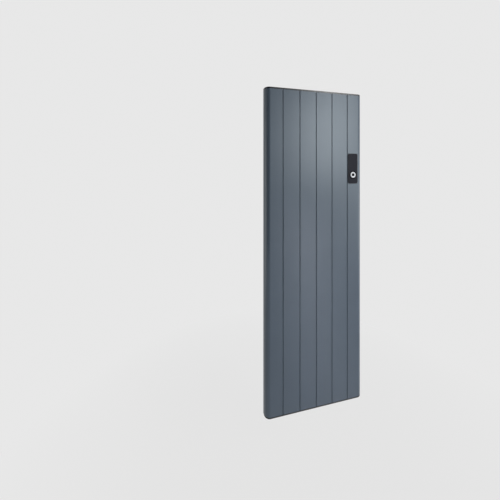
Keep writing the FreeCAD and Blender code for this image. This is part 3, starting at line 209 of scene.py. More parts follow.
class Finish(Wiring):
    """A material with a Principled shader; constants sit on the shader, what varies comes from nodes."""

    def __init__(self, name, constants):
        self.material = bpy.data.materials.new(name)
        self.material.use_nodes = True
        super().__init__(self.material.node_tree)
        self.shader = self.tree.nodes["Principled BSDF"]
        for socket, value in constants.items():
            self.shader.inputs[socket].default_value = value
        self.place = self.node("ShaderNodeTexCoord", {}, {}).outputs["Object"]

    def stretched(self, scale, centre):
        """Object coordinates about a centre, times a scale for each axis."""
        moved = self.node("ShaderNodeVectorMath", {"operation": "SUBTRACT"}, {0: self.place, 1: centre})
        sized = self.node("ShaderNodeVectorMath", {"operation": "MULTIPLY"}, {0: moved.outputs[0], 1: scale})
        return sized.outputs[0]

    def axes(self, centre=(0, 0, 0)):
        """The x, y and z of a point about a centre, as Signals in metres."""
        split = self.node("ShaderNodeSeparateXYZ", {}, {0: self.stretched((1, 1, 1), centre)})
        return [Signal(self, output) for output in split.outputs]

    def distance(self, centre):
        """Distance from the line along Y through a centre, as a Signal in metres."""
        x, _, z = self.axes(centre)
        return (x * x + z * z) ** 0.5

    def noise(self, size, detail=2.0, stretch=(1, 1, 1)):
        """Soft random Signal from 0 to 1 with features of about the size, in metres."""
        place = self.stretched(tuple(part / size for part in stretch), (0, 0, 0))
        return self.signal("ShaderNodeTexNoise", {}, {"Vector": place, "Scale": 1.0, "Detail": detail}, 0)

    def grains(self, size):
        """Random Signal from 0 to 1, one value for each cell of the size."""
        place = self.stretched((1 / size,) * 3, (0, 0, 0))
        cells = self.node("ShaderNodeTexVoronoi", {}, {"Vector": place, "Scale": 1.0})
        return self.signal("ShaderNodeSeparateXYZ", {}, {0: cells.outputs["Color"]}, 0)

    def blend(self, factor, first, second):
        """Colour between two colours."""
        made = self.node("ShaderNodeMix", {"data_type": "RGBA"}, {0: factor, 6: first, 7: second})
        return made.outputs[2]

    def toned(self, factor, colour, darkest, lightest):
        """A colour between two shades of itself."""
        return self.blend(factor, shade(colour, darkest), shade(colour, lightest))

    def relief(self, height, depth, strength):
        """Bump that feeds the shader's normal; the depth is in metres."""
        made = self.node("ShaderNodeBump", {}, {"Strength": strength, "Distance": depth, "Height": height})
        self.feed(self.shader.inputs["Normal"], made.outputs[0])

    def paint(self, colour, roughness):
        self.feed(self.shader.inputs["Base Color"], colour)
        self.feed(self.shader.inputs["Roughness"], roughness)
        return self.material


print("finishes ready")

# %% [markdown]
# The profiles, rails and brackets are powder coated. Powder melts into a satin film with a fine orange peel,
# a few darker and lighter grains of pigment, and, on an extrusion, faint lines along the drawing direction.
# One flat colour would look like plastic and a picture of a coat would repeat, so grains, clouds and lines
# from noise shift the colour a little and the gloss more.

# %% Powder coats
ANTHRACITE = (0.055, 0.076, 0.103)
FRAME_GREY = (0.050, 0.062, 0.076)
COOL_SHEEN = (0.88, 0.96, 1.0, 1.0)
PIGMENT_SIZE = 0.35 * MM
COAT_CLOUD_SIZE = 90 * MM
LINE_SIZE = 2.2 * MM
PIGMENT_SHARE = 0.45
COAT_CLOUD_SHARE = 0.3
LINE_SHARE = 0.25
COAT_GLOSS = 0.05
LINE_GLOSS = 0.07
PIGMENT_GLOSS = 0.03
DRAWN = 0.004
NOT_DRAWN = 1.0


def powder_coat(name, colour, peel, roughness, lines):
    finish = Finish(name, {"Specular Tint": COOL_SHEEN})
    pigment = finish.grains(PIGMENT_SIZE)
    cloud = finish.noise(COAT_CLOUD_SIZE)
    drawn = finish.noise(LINE_SIZE, detail=1.0, stretch=(1, 1, lines))
    tone = pigment * PIGMENT_SHARE + cloud * COAT_CLOUD_SHARE + drawn * LINE_SHARE
    colour_now = finish.toned(tone, colour, darkest=0.80, lightest=1.22)
    finish.relief(finish.noise(peel), depth=0.06 * MM, strength=0.7)
    return finish.paint(colour_now, roughness - COAT_GLOSS + drawn * LINE_GLOSS + pigment * PIGMENT_GLOSS)


coated_aluminium = powder_coat("coated_aluminium", ANTHRACITE, peel=1.6 * MM, roughness=0.40, lines=DRAWN)
coated_steel = powder_coat("coated_steel", FRAME_GREY, peel=0.9 * MM, roughness=0.52, lines=NOT_DRAWN)
bracket_coat = powder_coat("bracket_coat", FRAME_GREY, peel=1.1 * MM, roughness=0.50, lines=NOT_DRAWN)
print("powder coats made")

# %% [markdown]
# Caps, catches, rear box, gland and the components on the boards are moulded plastic. A mould is spark
# eroded, which prints a fine leathery grain into the part. The grain could be real geometry, but it is at
# most a few hundredths of a millimetre deep, so a fine noise makes a shallow bump, a broad one changes the
# gloss, and both shift the colour.

# %% Moulded plastics
CAP_GREY = (0.011, 0.012, 0.015)
BOX_BLACK = (0.022, 0.023, 0.026)
BEZEL_BLACK = (0.006, 0.006, 0.008)
COMPONENT_GREY = (0.05, 0.055, 0.065)
RUBBER_BLACK = (0.02, 0.02, 0.02)
PATCH_SIZE = 30 * MM
GRAIN_SHARE = 0.6
PATCH_SHARE = 0.4
PATCH_GLOSS = 0.12


def moulded(name, colour, grain, depth, roughness, shine=0.5):
    finish = Finish(name, {"Specular IOR Level": shine})
    eroded = finish.noise(grain, detail=3.0)
    patch = finish.noise(PATCH_SIZE)
    tone = eroded * GRAIN_SHARE + patch * PATCH_SHARE
    colour_now = finish.toned(tone, colour, darkest=0.8, lightest=1.25)
    finish.relief(eroded, depth, strength=0.6)
    return finish.paint(colour_now, roughness - PATCH_GLOSS / 2 + patch * PATCH_GLOSS)


cap_plastic = moulded("cap_plastic", CAP_GREY, 0.5 * MM, 0.02 * MM, roughness=0.30, shine=0.4)
latch_plastic = moulded("latch_plastic", BOX_BLACK, 0.6 * MM, 0.03 * MM, roughness=0.48)
box_plastic = moulded("box_plastic", BOX_BLACK, 0.7 * MM, 0.05 * MM, roughness=0.55)
bezel_plastic = moulded("bezel_plastic", BEZEL_BLACK, 0.3 * MM, 0.006 * MM, roughness=0.36, shine=0.2)
component_plastic = moulded("component_plastic", COMPONENT_GREY, 0.4 * MM, 0.02 * MM, roughness=0.5)
rubber = moulded("rubber", RUBBER_BLACK, 0.4 * MM, 0.02 * MM, roughness=0.75)
print("moulded plastics made")

# %% [markdown]
# The control panel is glass with a dark grey print on its back, which turns black in a ring round the dial,
# and a coat against reflections. Clear glass over a printed sheet could be built, but what the eye sees is
# the print, a weak gloss and a faint film of finger marks, so one shader does it. The button and the rocker
# are polished plastic with the same film and a few specks of dust.

# %% Gloss finishes
dial_low, dial_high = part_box("dial_ring")
DIAL_CENTRE = (dial_low + dial_high) / 2
PRINT_GREY = (0.032, 0.033, 0.0405, 1)
PRINT_BLACK = (0.003, 0.003, 0.004, 1)
PRINT_RADIUS = 19.5 * MM
PRINT_EVEN = 0.85
PRINT_FILM = 0.3
GLASS_ROUGHNESS = 0.06
GLASS_FILM = 0.04
BUTTON_BLACK = (0.003, 0.003, 0.004)
ROCKER_BLACK = (0.010, 0.010, 0.011)
FILM_SIZE = 14 * MM
FILM_DETAIL = 4.0
FILM_SHARE = 0.3
FILM_GLOSS = 0.05
DUST_SIZE = 0.25 * MM
DUST_LIMIT = 0.985
DUST_SHARE = 0.5


def glossy(name, colour, roughness, shine):
    finish = Finish(name, {"Specular IOR Level": shine})
    film = finish.noise(FILM_SIZE, FILM_DETAIL)
    dust = finish.grains(DUST_SIZE).above(DUST_LIMIT)
    colour_now = finish.toned(dust * DUST_SHARE + film * FILM_SHARE, colour, darkest=1.0, lightest=1.8)
    return finish.paint(colour_now, roughness + film * FILM_GLOSS)


def printed_glass():
    finish = Finish("panel_glass", {"Specular IOR Level": 0.03})
    film = finish.noise(FILM_SIZE, FILM_DETAIL)
    outside = finish.distance(DIAL_CENTRE).above(PRINT_RADIUS)
    colour_now = finish.blend(outside * (PRINT_EVEN + film * PRINT_FILM), PRINT_BLACK, PRINT_GREY)
    return finish.paint(colour_now, GLASS_ROUGHNESS + film * GLASS_FILM)


panel_glass = printed_glass()
button_gloss = glossy("button_gloss", BUTTON_BLACK, roughness=0.16, shine=0.06)
rocker_gloss = glossy("rocker_gloss", ROCKER_BLACK, roughness=0.30, shine=0.3)
print("gloss finishes made, print turns black within", round(PRINT_RADIUS / MM, 1), "mm of the dial's axis")

# %% [markdown]
# Bare metal shows how it was worked: the dial has a satin, turned finish with lines in circles about its
# axis, the heating rods are drawn, so their lines run along the rod, and zinc plating is cloudy. A plain
# mirror with one roughness would look like foil, so lines and clouds shift colour and gloss, and a very
# shallow bump makes the lines catch the light.

# %% Metals
DIAL_SILVER = (0.53, 0.54, 0.56)
ZINC_GREY = (0.56, 0.57, 0.57)
STEEL_GREY = (0.47, 0.46, 0.44)
CUTOUT_GREY = (0.27, 0.27, 0.26)
TURNING_PITCH = 0.22 * MM
TURNING_WANDER = 3.0
WANDER_SIZE = 0.6 * MM
DIAL_ROUGHNESS = 0.72
TURNING_GLOSS = 0.05
METAL_CLOUD_SIZE = 6 * MM
METAL_LINE_SHARE = 0.5
METAL_CLOUD_SHARE = 0.5
METAL_CLOUD_GLOSS = 0.16
EVEN_GRAIN = (1, 1, 1)
GRAIN_ALONG_Z = (1, 1, 0.01)


def turned_metal(name, colour, centre):
    finish = Finish(name, {"Metallic": 1.0})
    wander = finish.noise(WANDER_SIZE) * TURNING_WANDER
    lines = (finish.distance(centre) * (2 * math.pi / TURNING_PITCH) + wander).sine()
    colour_now = finish.toned(lines.lifted(), colour, darkest=0.94, lightest=1.04)
    finish.relief(lines, depth=0.004 * MM, strength=0.4)
    return finish.paint(colour_now, DIAL_ROUGHNESS + lines * TURNING_GLOSS)


def worked_metal(name, colour, size, stretch, roughness):
    finish = Finish(name, {"Metallic": 1.0})
    lines = finish.noise(size, detail=3.0, stretch=stretch)
    cloud = finish.noise(METAL_CLOUD_SIZE, detail=3.0)
    tone = lines * METAL_LINE_SHARE + cloud * METAL_CLOUD_SHARE
    colour_now = finish.toned(tone, colour, darkest=0.8, lightest=1.15)
    finish.relief(lines, depth=0.01 * MM, strength=0.4)
    return finish.paint(colour_now, roughness - METAL_CLOUD_GLOSS / 2 + cloud * METAL_CLOUD_GLOSS)


dial_metal = turned_metal("dial_metal", DIAL_SILVER, DIAL_CENTRE)
zinc = worked_metal("zinc", ZINC_GREY, 0.5 * MM, EVEN_GRAIN, roughness=0.34)
drawn_steel = worked_metal("drawn_steel", STEEL_GREY, 0.3 * MM, GRAIN_ALONG_Z, roughness=0.36)
cutout_metal = worked_metal("cutout_metal", CUTOUT_GREY, 0.4 * MM, EVEN_GRAIN, roughness=0.66)
print("metals made")

# %% [markdown]
# The loom runs in a woven glass sleeve, and the heating rods end in unglazed ceramic heads, because both get
# hot. Threads could be modelled one by one, but the loom sits deep inside. A weave is regular, so two slanted
# sine waves of the coordinates draw it. Ceramic is cloudy with a few burnt specks, which noise and grains
# give.

# %% Sleeve and ceramic
WEAVE_PITCH = 1.6 * MM
WEAVE_SLANT = 0.7
# Shaded and lit tones of the one black sleeve: painted shade in the weave's hollows, painted light on its
# crests
SLEEVE_SHADED = (0.03, 0.03, 0.032, 1)
SLEEVE_LIT = (0.10, 0.10, 0.105, 1)
SLEEVE_ROUGHNESS = 0.65
SLEEVE_GLOSS = 0.15
CERAMIC_DARK = (0.74, 0.71, 0.64, 1)
CERAMIC_LIGHT = (0.84, 0.82, 0.77, 1)
SPECK_BROWN = (0.45, 0.42, 0.36, 1)
SPECK_LIMIT = 0.93
SPECK_SHARE = 0.5
CERAMIC_ROUGHNESS = 0.6
CERAMIC_GLOSS = 0.2


def waves(signal, pitch):
    """A Signal that swings from 0 to 1 once in each pitch."""
    return (signal * (2 * math.pi / pitch)).sine().lifted()


def woven_sleeve():
    finish = Finish("woven_sleeve", {"Specular IOR Level": 0.3})
    x, y, z = finish.axes()
    along = x + y * WEAVE_SLANT + z
    across = x - y * WEAVE_SLANT - z
    weave = waves(along, WEAVE_PITCH) * waves(across, WEAVE_PITCH)
    finish.relief(weave, depth=0.15 * MM, strength=0.7)
    # Painted shade and light: the colour follows the weave's relief, dark where it sinks between threads,
    # light on its crests
    colour_now = finish.blend(weave, SLEEVE_SHADED, SLEEVE_LIT)
    return finish.paint(colour_now, SLEEVE_ROUGHNESS + weave * SLEEVE_GLOSS)


def ceramic_body():
    finish = Finish("ceramic_body", {})
    speck = finish.grains(0.5 * MM).above(SPECK_LIMIT)
    cloud = finish.noise(5 * MM, detail=3.0)
    finish.relief(cloud, depth=0.05 * MM, strength=0.4)
    clouded = finish.blend(cloud, CERAMIC_DARK, CERAMIC_LIGHT)
    colour_now = finish.blend(speck * SPECK_SHARE, clouded, SPECK_BROWN)
    return finish.paint(colour_now, CERAMIC_ROUGHNESS + cloud * CERAMIC_GLOSS)


loom_sleeve = woven_sleeve()
ceramic = ceramic_body()
print("sleeve and ceramic made, weave pitch", round(WEAVE_PITCH / MM, 2), "mm")

# %% [markdown]
# The boards have green lacquer over copper tracks, the ribbon is a row of parallel strands, and the display
# is dark, with a fine grid of dots. They are closed in by housings, so real tracks and strands would be
# wasted on them. Sine waves of the coordinates draw what is regular, and noise lets the tracks wander.

# %% Boards, ribbon and display
TRACK_PITCH = 2.4 * MM
TRACK_WANDER = 4 * MM
TRACK_LIMIT = 0.6
FIELD_LIMIT = 0.55
LACQUER_GREEN = (0.010, 0.075, 0.032, 1)
TRACK_GREEN = (0.030, 0.16, 0.06, 1)
LACQUER_ROUGHNESS = 0.32
STRAND_PITCH = 1.27 * MM
# Shaded and lit tones of the one grey ribbon: painted shade between the strands, painted light on their
# crests
STRAND_SHADED = (0.22, 0.22, 0.23, 1)
STRAND_LIT = (0.48, 0.48, 0.50, 1)
RIBBON_ROUGHNESS = 0.45
DOT_PITCH = 0.8 * MM
DISPLAY_DARK = (0.008, 0.009, 0.012, 1)
DISPLAY_LIGHT = (0.020, 0.022, 0.028, 1)
DISPLAY_ROUGHNESS = 0.2
PATTERN_GLOSS = 0.1


def circuit_lacquer():
    finish = Finish("circuit_lacquer", {"Coat Weight": 0.3})
    wander = finish.noise(9 * MM, detail=0.0) * TRACK_WANDER
    tracks = waves(finish.axes()[0] + wander, TRACK_PITCH).above(TRACK_LIMIT)
    fields = finish.grains(7 * MM).above(FIELD_LIMIT)
    copper = tracks * fields
    finish.relief(copper, depth=0.04 * MM, strength=0.6)
    colour_now = finish.blend(copper, LACQUER_GREEN, TRACK_GREEN)
    return finish.paint(colour_now, LACQUER_ROUGHNESS + copper * PATTERN_GLOSS)


def ribbon_strands():
    finish = Finish("ribbon_strands", {})
    strands = waves(finish.axes()[0], STRAND_PITCH)
    finish.relief(strands, depth=0.3 * MM, strength=0.8)
    # Painted shade and light: darker in the grooves between strands, lighter on their crests, following the
    # relief
    colour_now = finish.blend(strands, STRAND_SHADED, STRAND_LIT)
    return finish.paint(colour_now, RIBBON_ROUGHNESS + strands * PATTERN_GLOSS)


def dark_display():
    finish = Finish("dark_display", {"Coat Weight": 0.4})
    x, _, z = finish.axes()
    dots = waves(x, DOT_PITCH) * waves(z, DOT_PITCH)
    colour_now = finish.blend(dots, DISPLAY_DARK, DISPLAY_LIGHT)
    return finish.paint(colour_now, DISPLAY_ROUGHNESS + dots * PATTERN_GLOSS)


board_lacquer = circuit_lacquer()
ribbon = ribbon_strands()
display = dark_display()
print("boards, ribbon and display finished,", len(bpy.data.materials), "materials in all")

# %% [markdown]
# A piece is an object of its own that rides with a body of the radiator, as the record groups them, takes a
# material, and may stand for nodes of the construction. Pieces are made in several ways below, so what they
# share comes first: a new object, a plain mesh once its modifiers have done their work, and the last touches.

# %% Helpers for pieces
record = frame["record"]
body_of = {node: body for body, members in record["behaviour"]["bodies"].items() for node in members}


def new_piece(name, mesh):
    piece = bpy.data.objects.new(name, mesh)
    bpy.context.scene.collection.objects.link(piece)
    return piece


def to_mesh(piece):
    """The piece with its modifiers applied, as a plain mesh."""
    shown = piece.evaluated_get(bpy.context.evaluated_depsgraph_get())
    mesh = bpy.data.meshes.new_from_object(shown)
    piece.modifiers.clear()
    piece.data = mesh
    return piece


def finished(piece, node, material, replaced):
    """Gives a piece its material and lets it ride with a node's body; it replaces the named nodes."""
    piece.data.materials.clear()
    piece.data.materials.append(material)
    if replaced:
        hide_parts(*replaced)
    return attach(piece, body_of[node])


# %% [markdown]
# Sheet, moulding and extrusion never have knife edges, and the small round on an edge is what catches the
# light. Rounds in the construction would multiply its facets. So each node with edges is copied here, its
# loose triangles are merged, flat areas are joined, and a narrow bevel rounds the sharp edges. Normals
# weighted by area keep the flats flat. The copy stands for its node, so nothing moves and the outline stays
# the construction's own.

# %% Rounded edges
SHARP = math.radians(32)
FLAT = math.radians(0.2)
WELD = 0.002 * MM
ROUND_SEGMENTS = 2


def rounded(piece, width):
    """Rounds the sharp edges of a piece and keeps its flats flat."""
    bevel = piece.modifiers.new("round", "BEVEL")
    bevel.width = width
    bevel.segments = ROUND_SEGMENTS
    bevel.limit_method = "ANGLE"
    bevel.angle_limit = SHARP
    bevel.use_clamp_overlap = False
    piece.modifiers.new("flats", "WEIGHTED_NORMAL")
    piece.data.shade_smooth()
    return to_mesh(piece)


def merged_shape(node):
    """A node's triangles as one connected shape with flat areas joined."""
    shape = bmesh.new()
    shape.from_mesh(nodes[node].data)
    bmesh.ops.remove_doubles(shape, verts=shape.verts, dist=WELD)
    bmesh.ops.dissolve_limit(shape, angle_limit=FLAT, verts=shape.verts, edges=shape.edges)
    return shape


def edged(node, width, material):
    """A copy of a node with rounded edges of the width."""
    mesh = bpy.data.meshes.new(node + "_edged")
    shape = merged_shape(node)
    shape.to_mesh(mesh)
    shape.free()
    return finished(rounded(new_piece(node + "_edged", mesh), width), node, material, [node])


print("edges sharper than", round(math.degrees(SHARP)), "degrees get a round")

# %% [markdown]
# How far an edge is rounded depends on how the piece is made: an extrusion or a folded sheet gets about a
# quarter of a millimetre, a moulding up to half a millimetre, a woven sleeve more. The list could say that
# node by node, but pieces of one finish are made in one way, so it goes by finish.

# %% Edged copies of the nodes
EDGES = {
    coated_aluminium: (0.25 * MM, ["left_end_profile", "right_end_profile"]
                       + ["middle_profile_%d" % number for number in range(1, 5)]),
    cap_plastic: (0.5 * MM, ["top_outlet_cap", "bottom_cap"]),
    coated_steel: (0.2 * MM, ["wiring_cover", "cross_rail_top", "cross_rail_middle", "cross_rail_bottom"]),
    bracket_coat: (0.25 * MM, ["wall_bracket_top", "wall_bracket_bottom"]),
    zinc: (0.2 * MM, ["latch_pins"]),
    latch_plastic: (0.5 * MM, ["bracket_latch_left", "bracket_latch_right"]),
    bezel_plastic: (0.2 * MM, ["control_bezel"]),
    panel_glass: (0.2 * MM, ["control_glass"]),
    box_plastic: (0.3 * MM, ["rear_cover", "switch_frame", "room_sensor", "mounting_plate"]),
    rocker_gloss: (0.3 * MM, ["power_rocker"]),
    cutout_metal: (0.2 * MM, ["thermal_cutout"]),
    loom_sleeve: (0.6 * MM, ["wiring_harness", "cutout_lead"]),
    ceramic: (0.4 * MM, ["element_terminals"]),
    component_plastic: (0.2 * MM, ["terminal_block", "relay", "filter_capacitor"]),
}
for material, (width, names) in EDGES.items():
    for name in names:
        edged(name, width, material)
print("edged", sum(len(names) for width, names in EDGES.values()), "nodes")

# %% [markdown]
# What lies deep inside, or is round already, such as the heating rods, would look no better with edges. It
# keeps its construction mesh and only takes a finish.

# %% Finishes on the other nodes
KEPT = {
    drawn_steel: ["heating_element_%d" % number for number in range(1, 6)],
    board_lacquer: ["control_board", "power_board"],
    component_plastic: ["dial_encoder", "tact_switch"],
    display: ["display_module"],
    ribbon: ["ribbon_cable"],
}
for material, names in KEPT.items():
    for name in names:
        for place in nodes[name].material_slots:
            place.material = material
print("finished", sum(len(names) for names in KEPT.values()), "kept nodes")

# %% [markdown]
# Screws and ribs repeat. A Python loop could copy them, but Geometry Nodes keep the shape and its repeating
# in one tree with named sizes. A Recipe is such a tree: it takes a mesh, puts copies of a shape on points,
# turns the copies into real mesh and paints it. The result is kept as a plain mesh.

# %% Recipes
class Recipe(Wiring):
    """A Geometry Nodes tree with named inputs for its sizes."""

    def __init__(self, name, sizes):
        super().__init__(bpy.data.node_groups.new(name, "GeometryNodeTree"))
        interface = self.tree.interface
        interface.new_socket("Geometry", in_out="INPUT", socket_type="NodeSocketGeometry")
        interface.new_socket("Geometry", in_out="OUTPUT", socket_type="NodeSocketGeometry")
        for size in sizes:
            interface.new_socket(size, in_out="INPUT", socket_type="NodeSocketFloat")
        self.given = self.node("NodeGroupInput", {}, {}).outputs

    def size(self, name):
        return Signal(self, self.given[name])

    def vector(self, x, y, z):
        return self.node("ShaderNodeCombineXYZ", {}, {0: x, 1: y, 2: z}).outputs[0]

    def cone(self, sides, low_radius, high_radius, height, start):
        """A cone or prism along Z that begins at a height."""
        sizes = {"Vertices": sides, "Radius Bottom": low_radius, "Radius Top": high_radius, "Depth": height}
        made = self.node("GeometryNodeMeshCone", {}, sizes)
        return self.moved(made.outputs["Mesh"], self.vector(0.0, 0.0, start), (0.0, 0.0, 0.0))

    def moved(self, geometry, by, turn):
        parts = {"Geometry": geometry, "Translation": by, "Rotation": turn}
        return self.node("GeometryNodeTransform", {}, parts).outputs[0]

    def joined(self, parts):
        return self.node("GeometryNodeJoinGeometry", {}, {0: parts}).outputs[0]

    def copies(self, points, shape):
        parts = {"Points": points, "Instance": shape}
        return self.node("GeometryNodeInstanceOnPoints", {}, parts).outputs[0]

    def close(self, geometry, material):
        """Ends the tree with real mesh and the material."""
        real = self.node("GeometryNodeRealizeInstances", {}, {0: geometry})
        parts = {"Geometry": real.outputs[0], "Material": material}
        painted = self.node("GeometryNodeSetMaterial", {}, parts)
        self.node("NodeGroupOutput", {}, {0: painted.outputs[0]})

    def run(self, piece, sizes):
        """Runs the recipe on a piece's mesh, with the sizes set by the sockets' identifiers."""
        modifier = piece.modifiers.new("recipe", "NODES")
        modifier.node_group = self.tree
        for item in self.tree.interface.items_tree:
            if item.name in sizes:
                modifier[item.identifier] = sizes[item.name]
        return to_mesh(piece)


print("recipes ready")

# %% [markdown]
# The rails, the wiring cover, the mounting plate and the rear cover are held by flanged hexagon screws with
# a cross recess, as self-tapping screws in such ports have. The construction has plain six-sided heads on
# square shanks for them. Each screw could be modelled on its own, but they are all alike, so one recipe makes
# the screw and sets a copy on each place, which is read from the construction's screws.

# %% Screws
HEAD_HEIGHT = 2.6 * MM
SCREW_ROUND = 0.12 * MM
FLANGE_SIDES = 24
FLANGE_TAPER = 0.94
HEXAGON_SIDES = 6
HEXAGON_TAPER = 0.93
SHANK_SIDES = 10
SHANK_TAPER = 0.7
TO_WALL = (-math.pi / 2, 0.0, 0.0)
SCREW_SIZES = {
    "Flange radius": 4.0 * MM,
    "Flange height": 0.8 * MM,
    "Hexagon radius": 3.3 * MM,
    "Hexagon height": 1.8 * MM,
    "Recess length": 3.4 * MM,
    "Recess width": 0.8 * MM,
    "Recess depth": 1.1 * MM,
    "Shank radius": 1.5 * MM,
    "Shank length": 8.8 * MM,
}


def cross_recess(recipe, top):
    """Two crossed bars, half sunk into the head's top, which are cut out of the head."""
    length, width, depth = [recipe.size("Recess " + part) for part in ("length", "width", "depth")]
    bars = []
    for along, across in ((length, width), (width, length)):
        bar = recipe.node("GeometryNodeMeshCube", {}, {"Size": recipe.vector(along, across, depth * 2.0)})
        bars.append(recipe.moved(bar.outputs["Mesh"], recipe.vector(0.0, 0.0, top), (0.0, 0.0, 0.0)))
    return bars


def screw_recipe():
    recipe = Recipe("flanged_screw", SCREW_SIZES)
    flange_radius, flange_height = recipe.size("Flange radius"), recipe.size("Flange height")
    hexagon_radius, hexagon_height = recipe.size("Hexagon radius"), recipe.size("Hexagon height")
    shank_radius, shank_length = recipe.size("Shank radius"), recipe.size("Shank length")
    flange = recipe.cone(FLANGE_SIDES, flange_radius, flange_radius * FLANGE_TAPER, flange_height, 0.0)
    hexagon_end = hexagon_radius * HEXAGON_TAPER
    hexagon = recipe.cone(HEXAGON_SIDES, hexagon_radius, hexagon_end, hexagon_height, flange_height)
    recess = cross_recess(recipe, flange_height + hexagon_height)
    head = recipe.node("GeometryNodeMeshBoolean", {"operation": "DIFFERENCE"}, {0: hexagon, 1: recess})
    shank_end = shank_radius * SHANK_TAPER
    shank = recipe.cone(SHANK_SIDES, shank_end, shank_radius, shank_length, shank_length * -1.0)
    screw = recipe.moved(recipe.joined([flange, head.outputs[0], shank]), (0.0, 0.0, 0.0), TO_WALL)
    recipe.close(recipe.copies(recipe.given["Geometry"], screw), zinc)
    return recipe


def solid_boxes(node):
    """Lowest and highest corner of each separate solid of a node."""
    shape = merged_shape(node)
    waiting = set(shape.verts)
    boxes = []
    while waiting:
        group = [waiting.pop()]
        for vert in group:
            for edge in vert.link_edges:
                other = edge.other_vert(vert)
                if other in waiting:
                    waiting.remove(other)
                    group.append(other)
        places = [vert.co for vert in group]
        low = [min(place[axis] for place in places) for axis in range(3)]
        high = [max(place[axis] for place in places) for axis in range(3)]
        boxes.append((low, high))
    shape.free()
    return sorted(boxes)


def head_place(low, high):
    """Where a screw's head meets what it holds, in the middle of its box."""
    return (low[0] + high[0]) / 2, high[1] - HEAD_HEIGHT, (low[2] + high[2]) / 2


screws = screw_recipe()
for node in ("rail_screws", "cover_screws"):
    heads = [head_place(low, high) for low, high in solid_boxes(node)]
    mesh = bpy.data.meshes.new(node)
    mesh.from_pydata(heads, [], [])
    piece = screws.run(new_piece(node + "_flanged", mesh), SCREW_SIZES)
    finished(rounded(piece, SCREW_ROUND), node, zinc, [node])
    print(node, len(heads), "screws")

# %% [markdown]
# Dial, button and gland are turned parts: an outline of radius and height goes round an axis. A Screw
# modifier could turn it, but bmesh's spin gives the mesh at once; its seam is merged and its faces are turned
# outwards. Ribs round a rim give the fingers a hold. They repeat, so a recipe sets them on a circle.

# %% Turned parts
RIB_SIZES = ["Circle radius", "Rib radius", "Rib length", "Rib start", "Count"]
RIB_SIDES = 8
RIB_TAPER = 0.7
SEAM = 0.001 * MM


def turned_piece(name, outline, steps, width, closed=True):
    """Turns an outline of (radius, height) corners about Z: a closed one to a ring, an open one to a knob."""
    shape = bmesh.new()
    verts = [shape.verts.new((radius, 0.0, height)) for radius, height in outline]
    pairs = list(zip(verts, verts[1:])) + ([(verts[-1], verts[0])] if closed else [])
    edges = [shape.edges.new(pair) for pair in pairs]
    bmesh.ops.spin(shape, geom=verts + edges, axis=(0, 0, 1), angle=2 * math.pi, steps=steps)
    bmesh.ops.remove_doubles(shape, verts=shape.verts, dist=SEAM)
    bmesh.ops.recalc_face_normals(shape, faces=shape.faces)
    mesh = bpy.data.meshes.new(name)
    shape.to_mesh(mesh)
    shape.free()
    return rounded(new_piece(name, mesh), width)


def rib_recipe(name, material):
    recipe = Recipe(name, RIB_SIZES)
    sizes = {"Vertices": recipe.size("Count"), "Radius": recipe.size("Circle radius")}
    ring = recipe.node("GeometryNodeMeshCircle", {}, sizes)
    radius, length, start = [recipe.size("Rib " + part) for part in ("radius", "length", "start")]
    rib = recipe.cone(RIB_SIDES, radius, radius * RIB_TAPER, length, start)
    body = recipe.given["Geometry"]
    recipe.close(recipe.joined([body, recipe.copies(ring.outputs[0], rib)]), material)
    return recipe


def set_along(piece, axis, place):
    """Turns a piece's mesh from Z to an axis and moves it to its place."""
    turn = Vector((0, 0, 1)).rotation_difference(Vector(axis)).to_matrix().to_4x4()
    piece.data.transform(Matrix.Translation(place) @ turn)
    return piece


print("turned parts ready")

# %% [markdown]
# The dial is a metal ring that turns round a button. In the construction it is a plain turned solid. A
# chamfer, a funnel towards the button and fine ribs on the rim would cost it many facets, so its outline is
# turned afresh here, from the size of its node.

# %% Dial ring
TO_ROOM = (0, -1, 0)
DIAL_ROUND = 0.2 * MM
RING_STEPS = 96
RING_BORE = 8.08 * MM
RING_CHAMFER = 0.9 * MM
CREST_INSET = 1.7 * MM
FUNNEL_WIDTH = 1.2 * MM
FUNNEL_DROP = 0.45 * MM
BORE_DROP = 0.8 * MM
RIB_SINK = 0.05 * MM

ring_radius = (dial_high.x - dial_low.x) / 2
ring_length = dial_high.y - dial_low.y
ring_end = Vector((DIAL_CENTRE.x, dial_high.y, DIAL_CENTRE.z))
ring_outline = [
    (RING_BORE, 0.0),
    (ring_radius, 0.0),
    (ring_radius, ring_length - RING_CHAMFER),
    (ring_radius - RING_CHAMFER, ring_length),
    (ring_radius - CREST_INSET, ring_length),
    (RING_BORE + FUNNEL_WIDTH, ring_length - FUNNEL_DROP),
    (RING_BORE, ring_length - BORE_DROP),
]
ring = turned_piece("dial_ring_ribbed", ring_outline, RING_STEPS, DIAL_ROUND)
rib_recipe("fine_ribs", dial_metal).run(ring, {
    "Circle radius": ring_radius - RIB_SINK,
    "Rib radius": 0.28 * MM,
    "Rib length": ring_length - 1.6 * MM,
    "Rib start": 0.5 * MM,
    "Count": 72.0,
})
finished(set_along(ring, TO_ROOM, ring_end), "dial_ring", dial_metal, ["dial_ring"])
print("dial ring", len(ring.data.polygons), "faces")

# %% [markdown]
# The button in the ring is pressed with a fingertip, so its face is dished. A ball could be cut out of a
# cylinder, but a boolean leaves uneven faces. A few more corners in a turned outline give the same dish.

# %% Button
BUTTON_STEPS = 64
BUTTON_CHAMFER = 0.6 * MM

button_low, button_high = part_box("dial_button")
button_radius = (button_high.x - button_low.x) / 2
button_length = button_high.y - button_low.y
button_end = Vector((DIAL_CENTRE.x, button_high.y, DIAL_CENTRE.z))
button_outline = [
    (0.0, 0.0),
    (button_radius, 0.0),
    (button_radius, button_length - BUTTON_CHAMFER),
    (button_radius - BUTTON_CHAMFER, button_length),
]
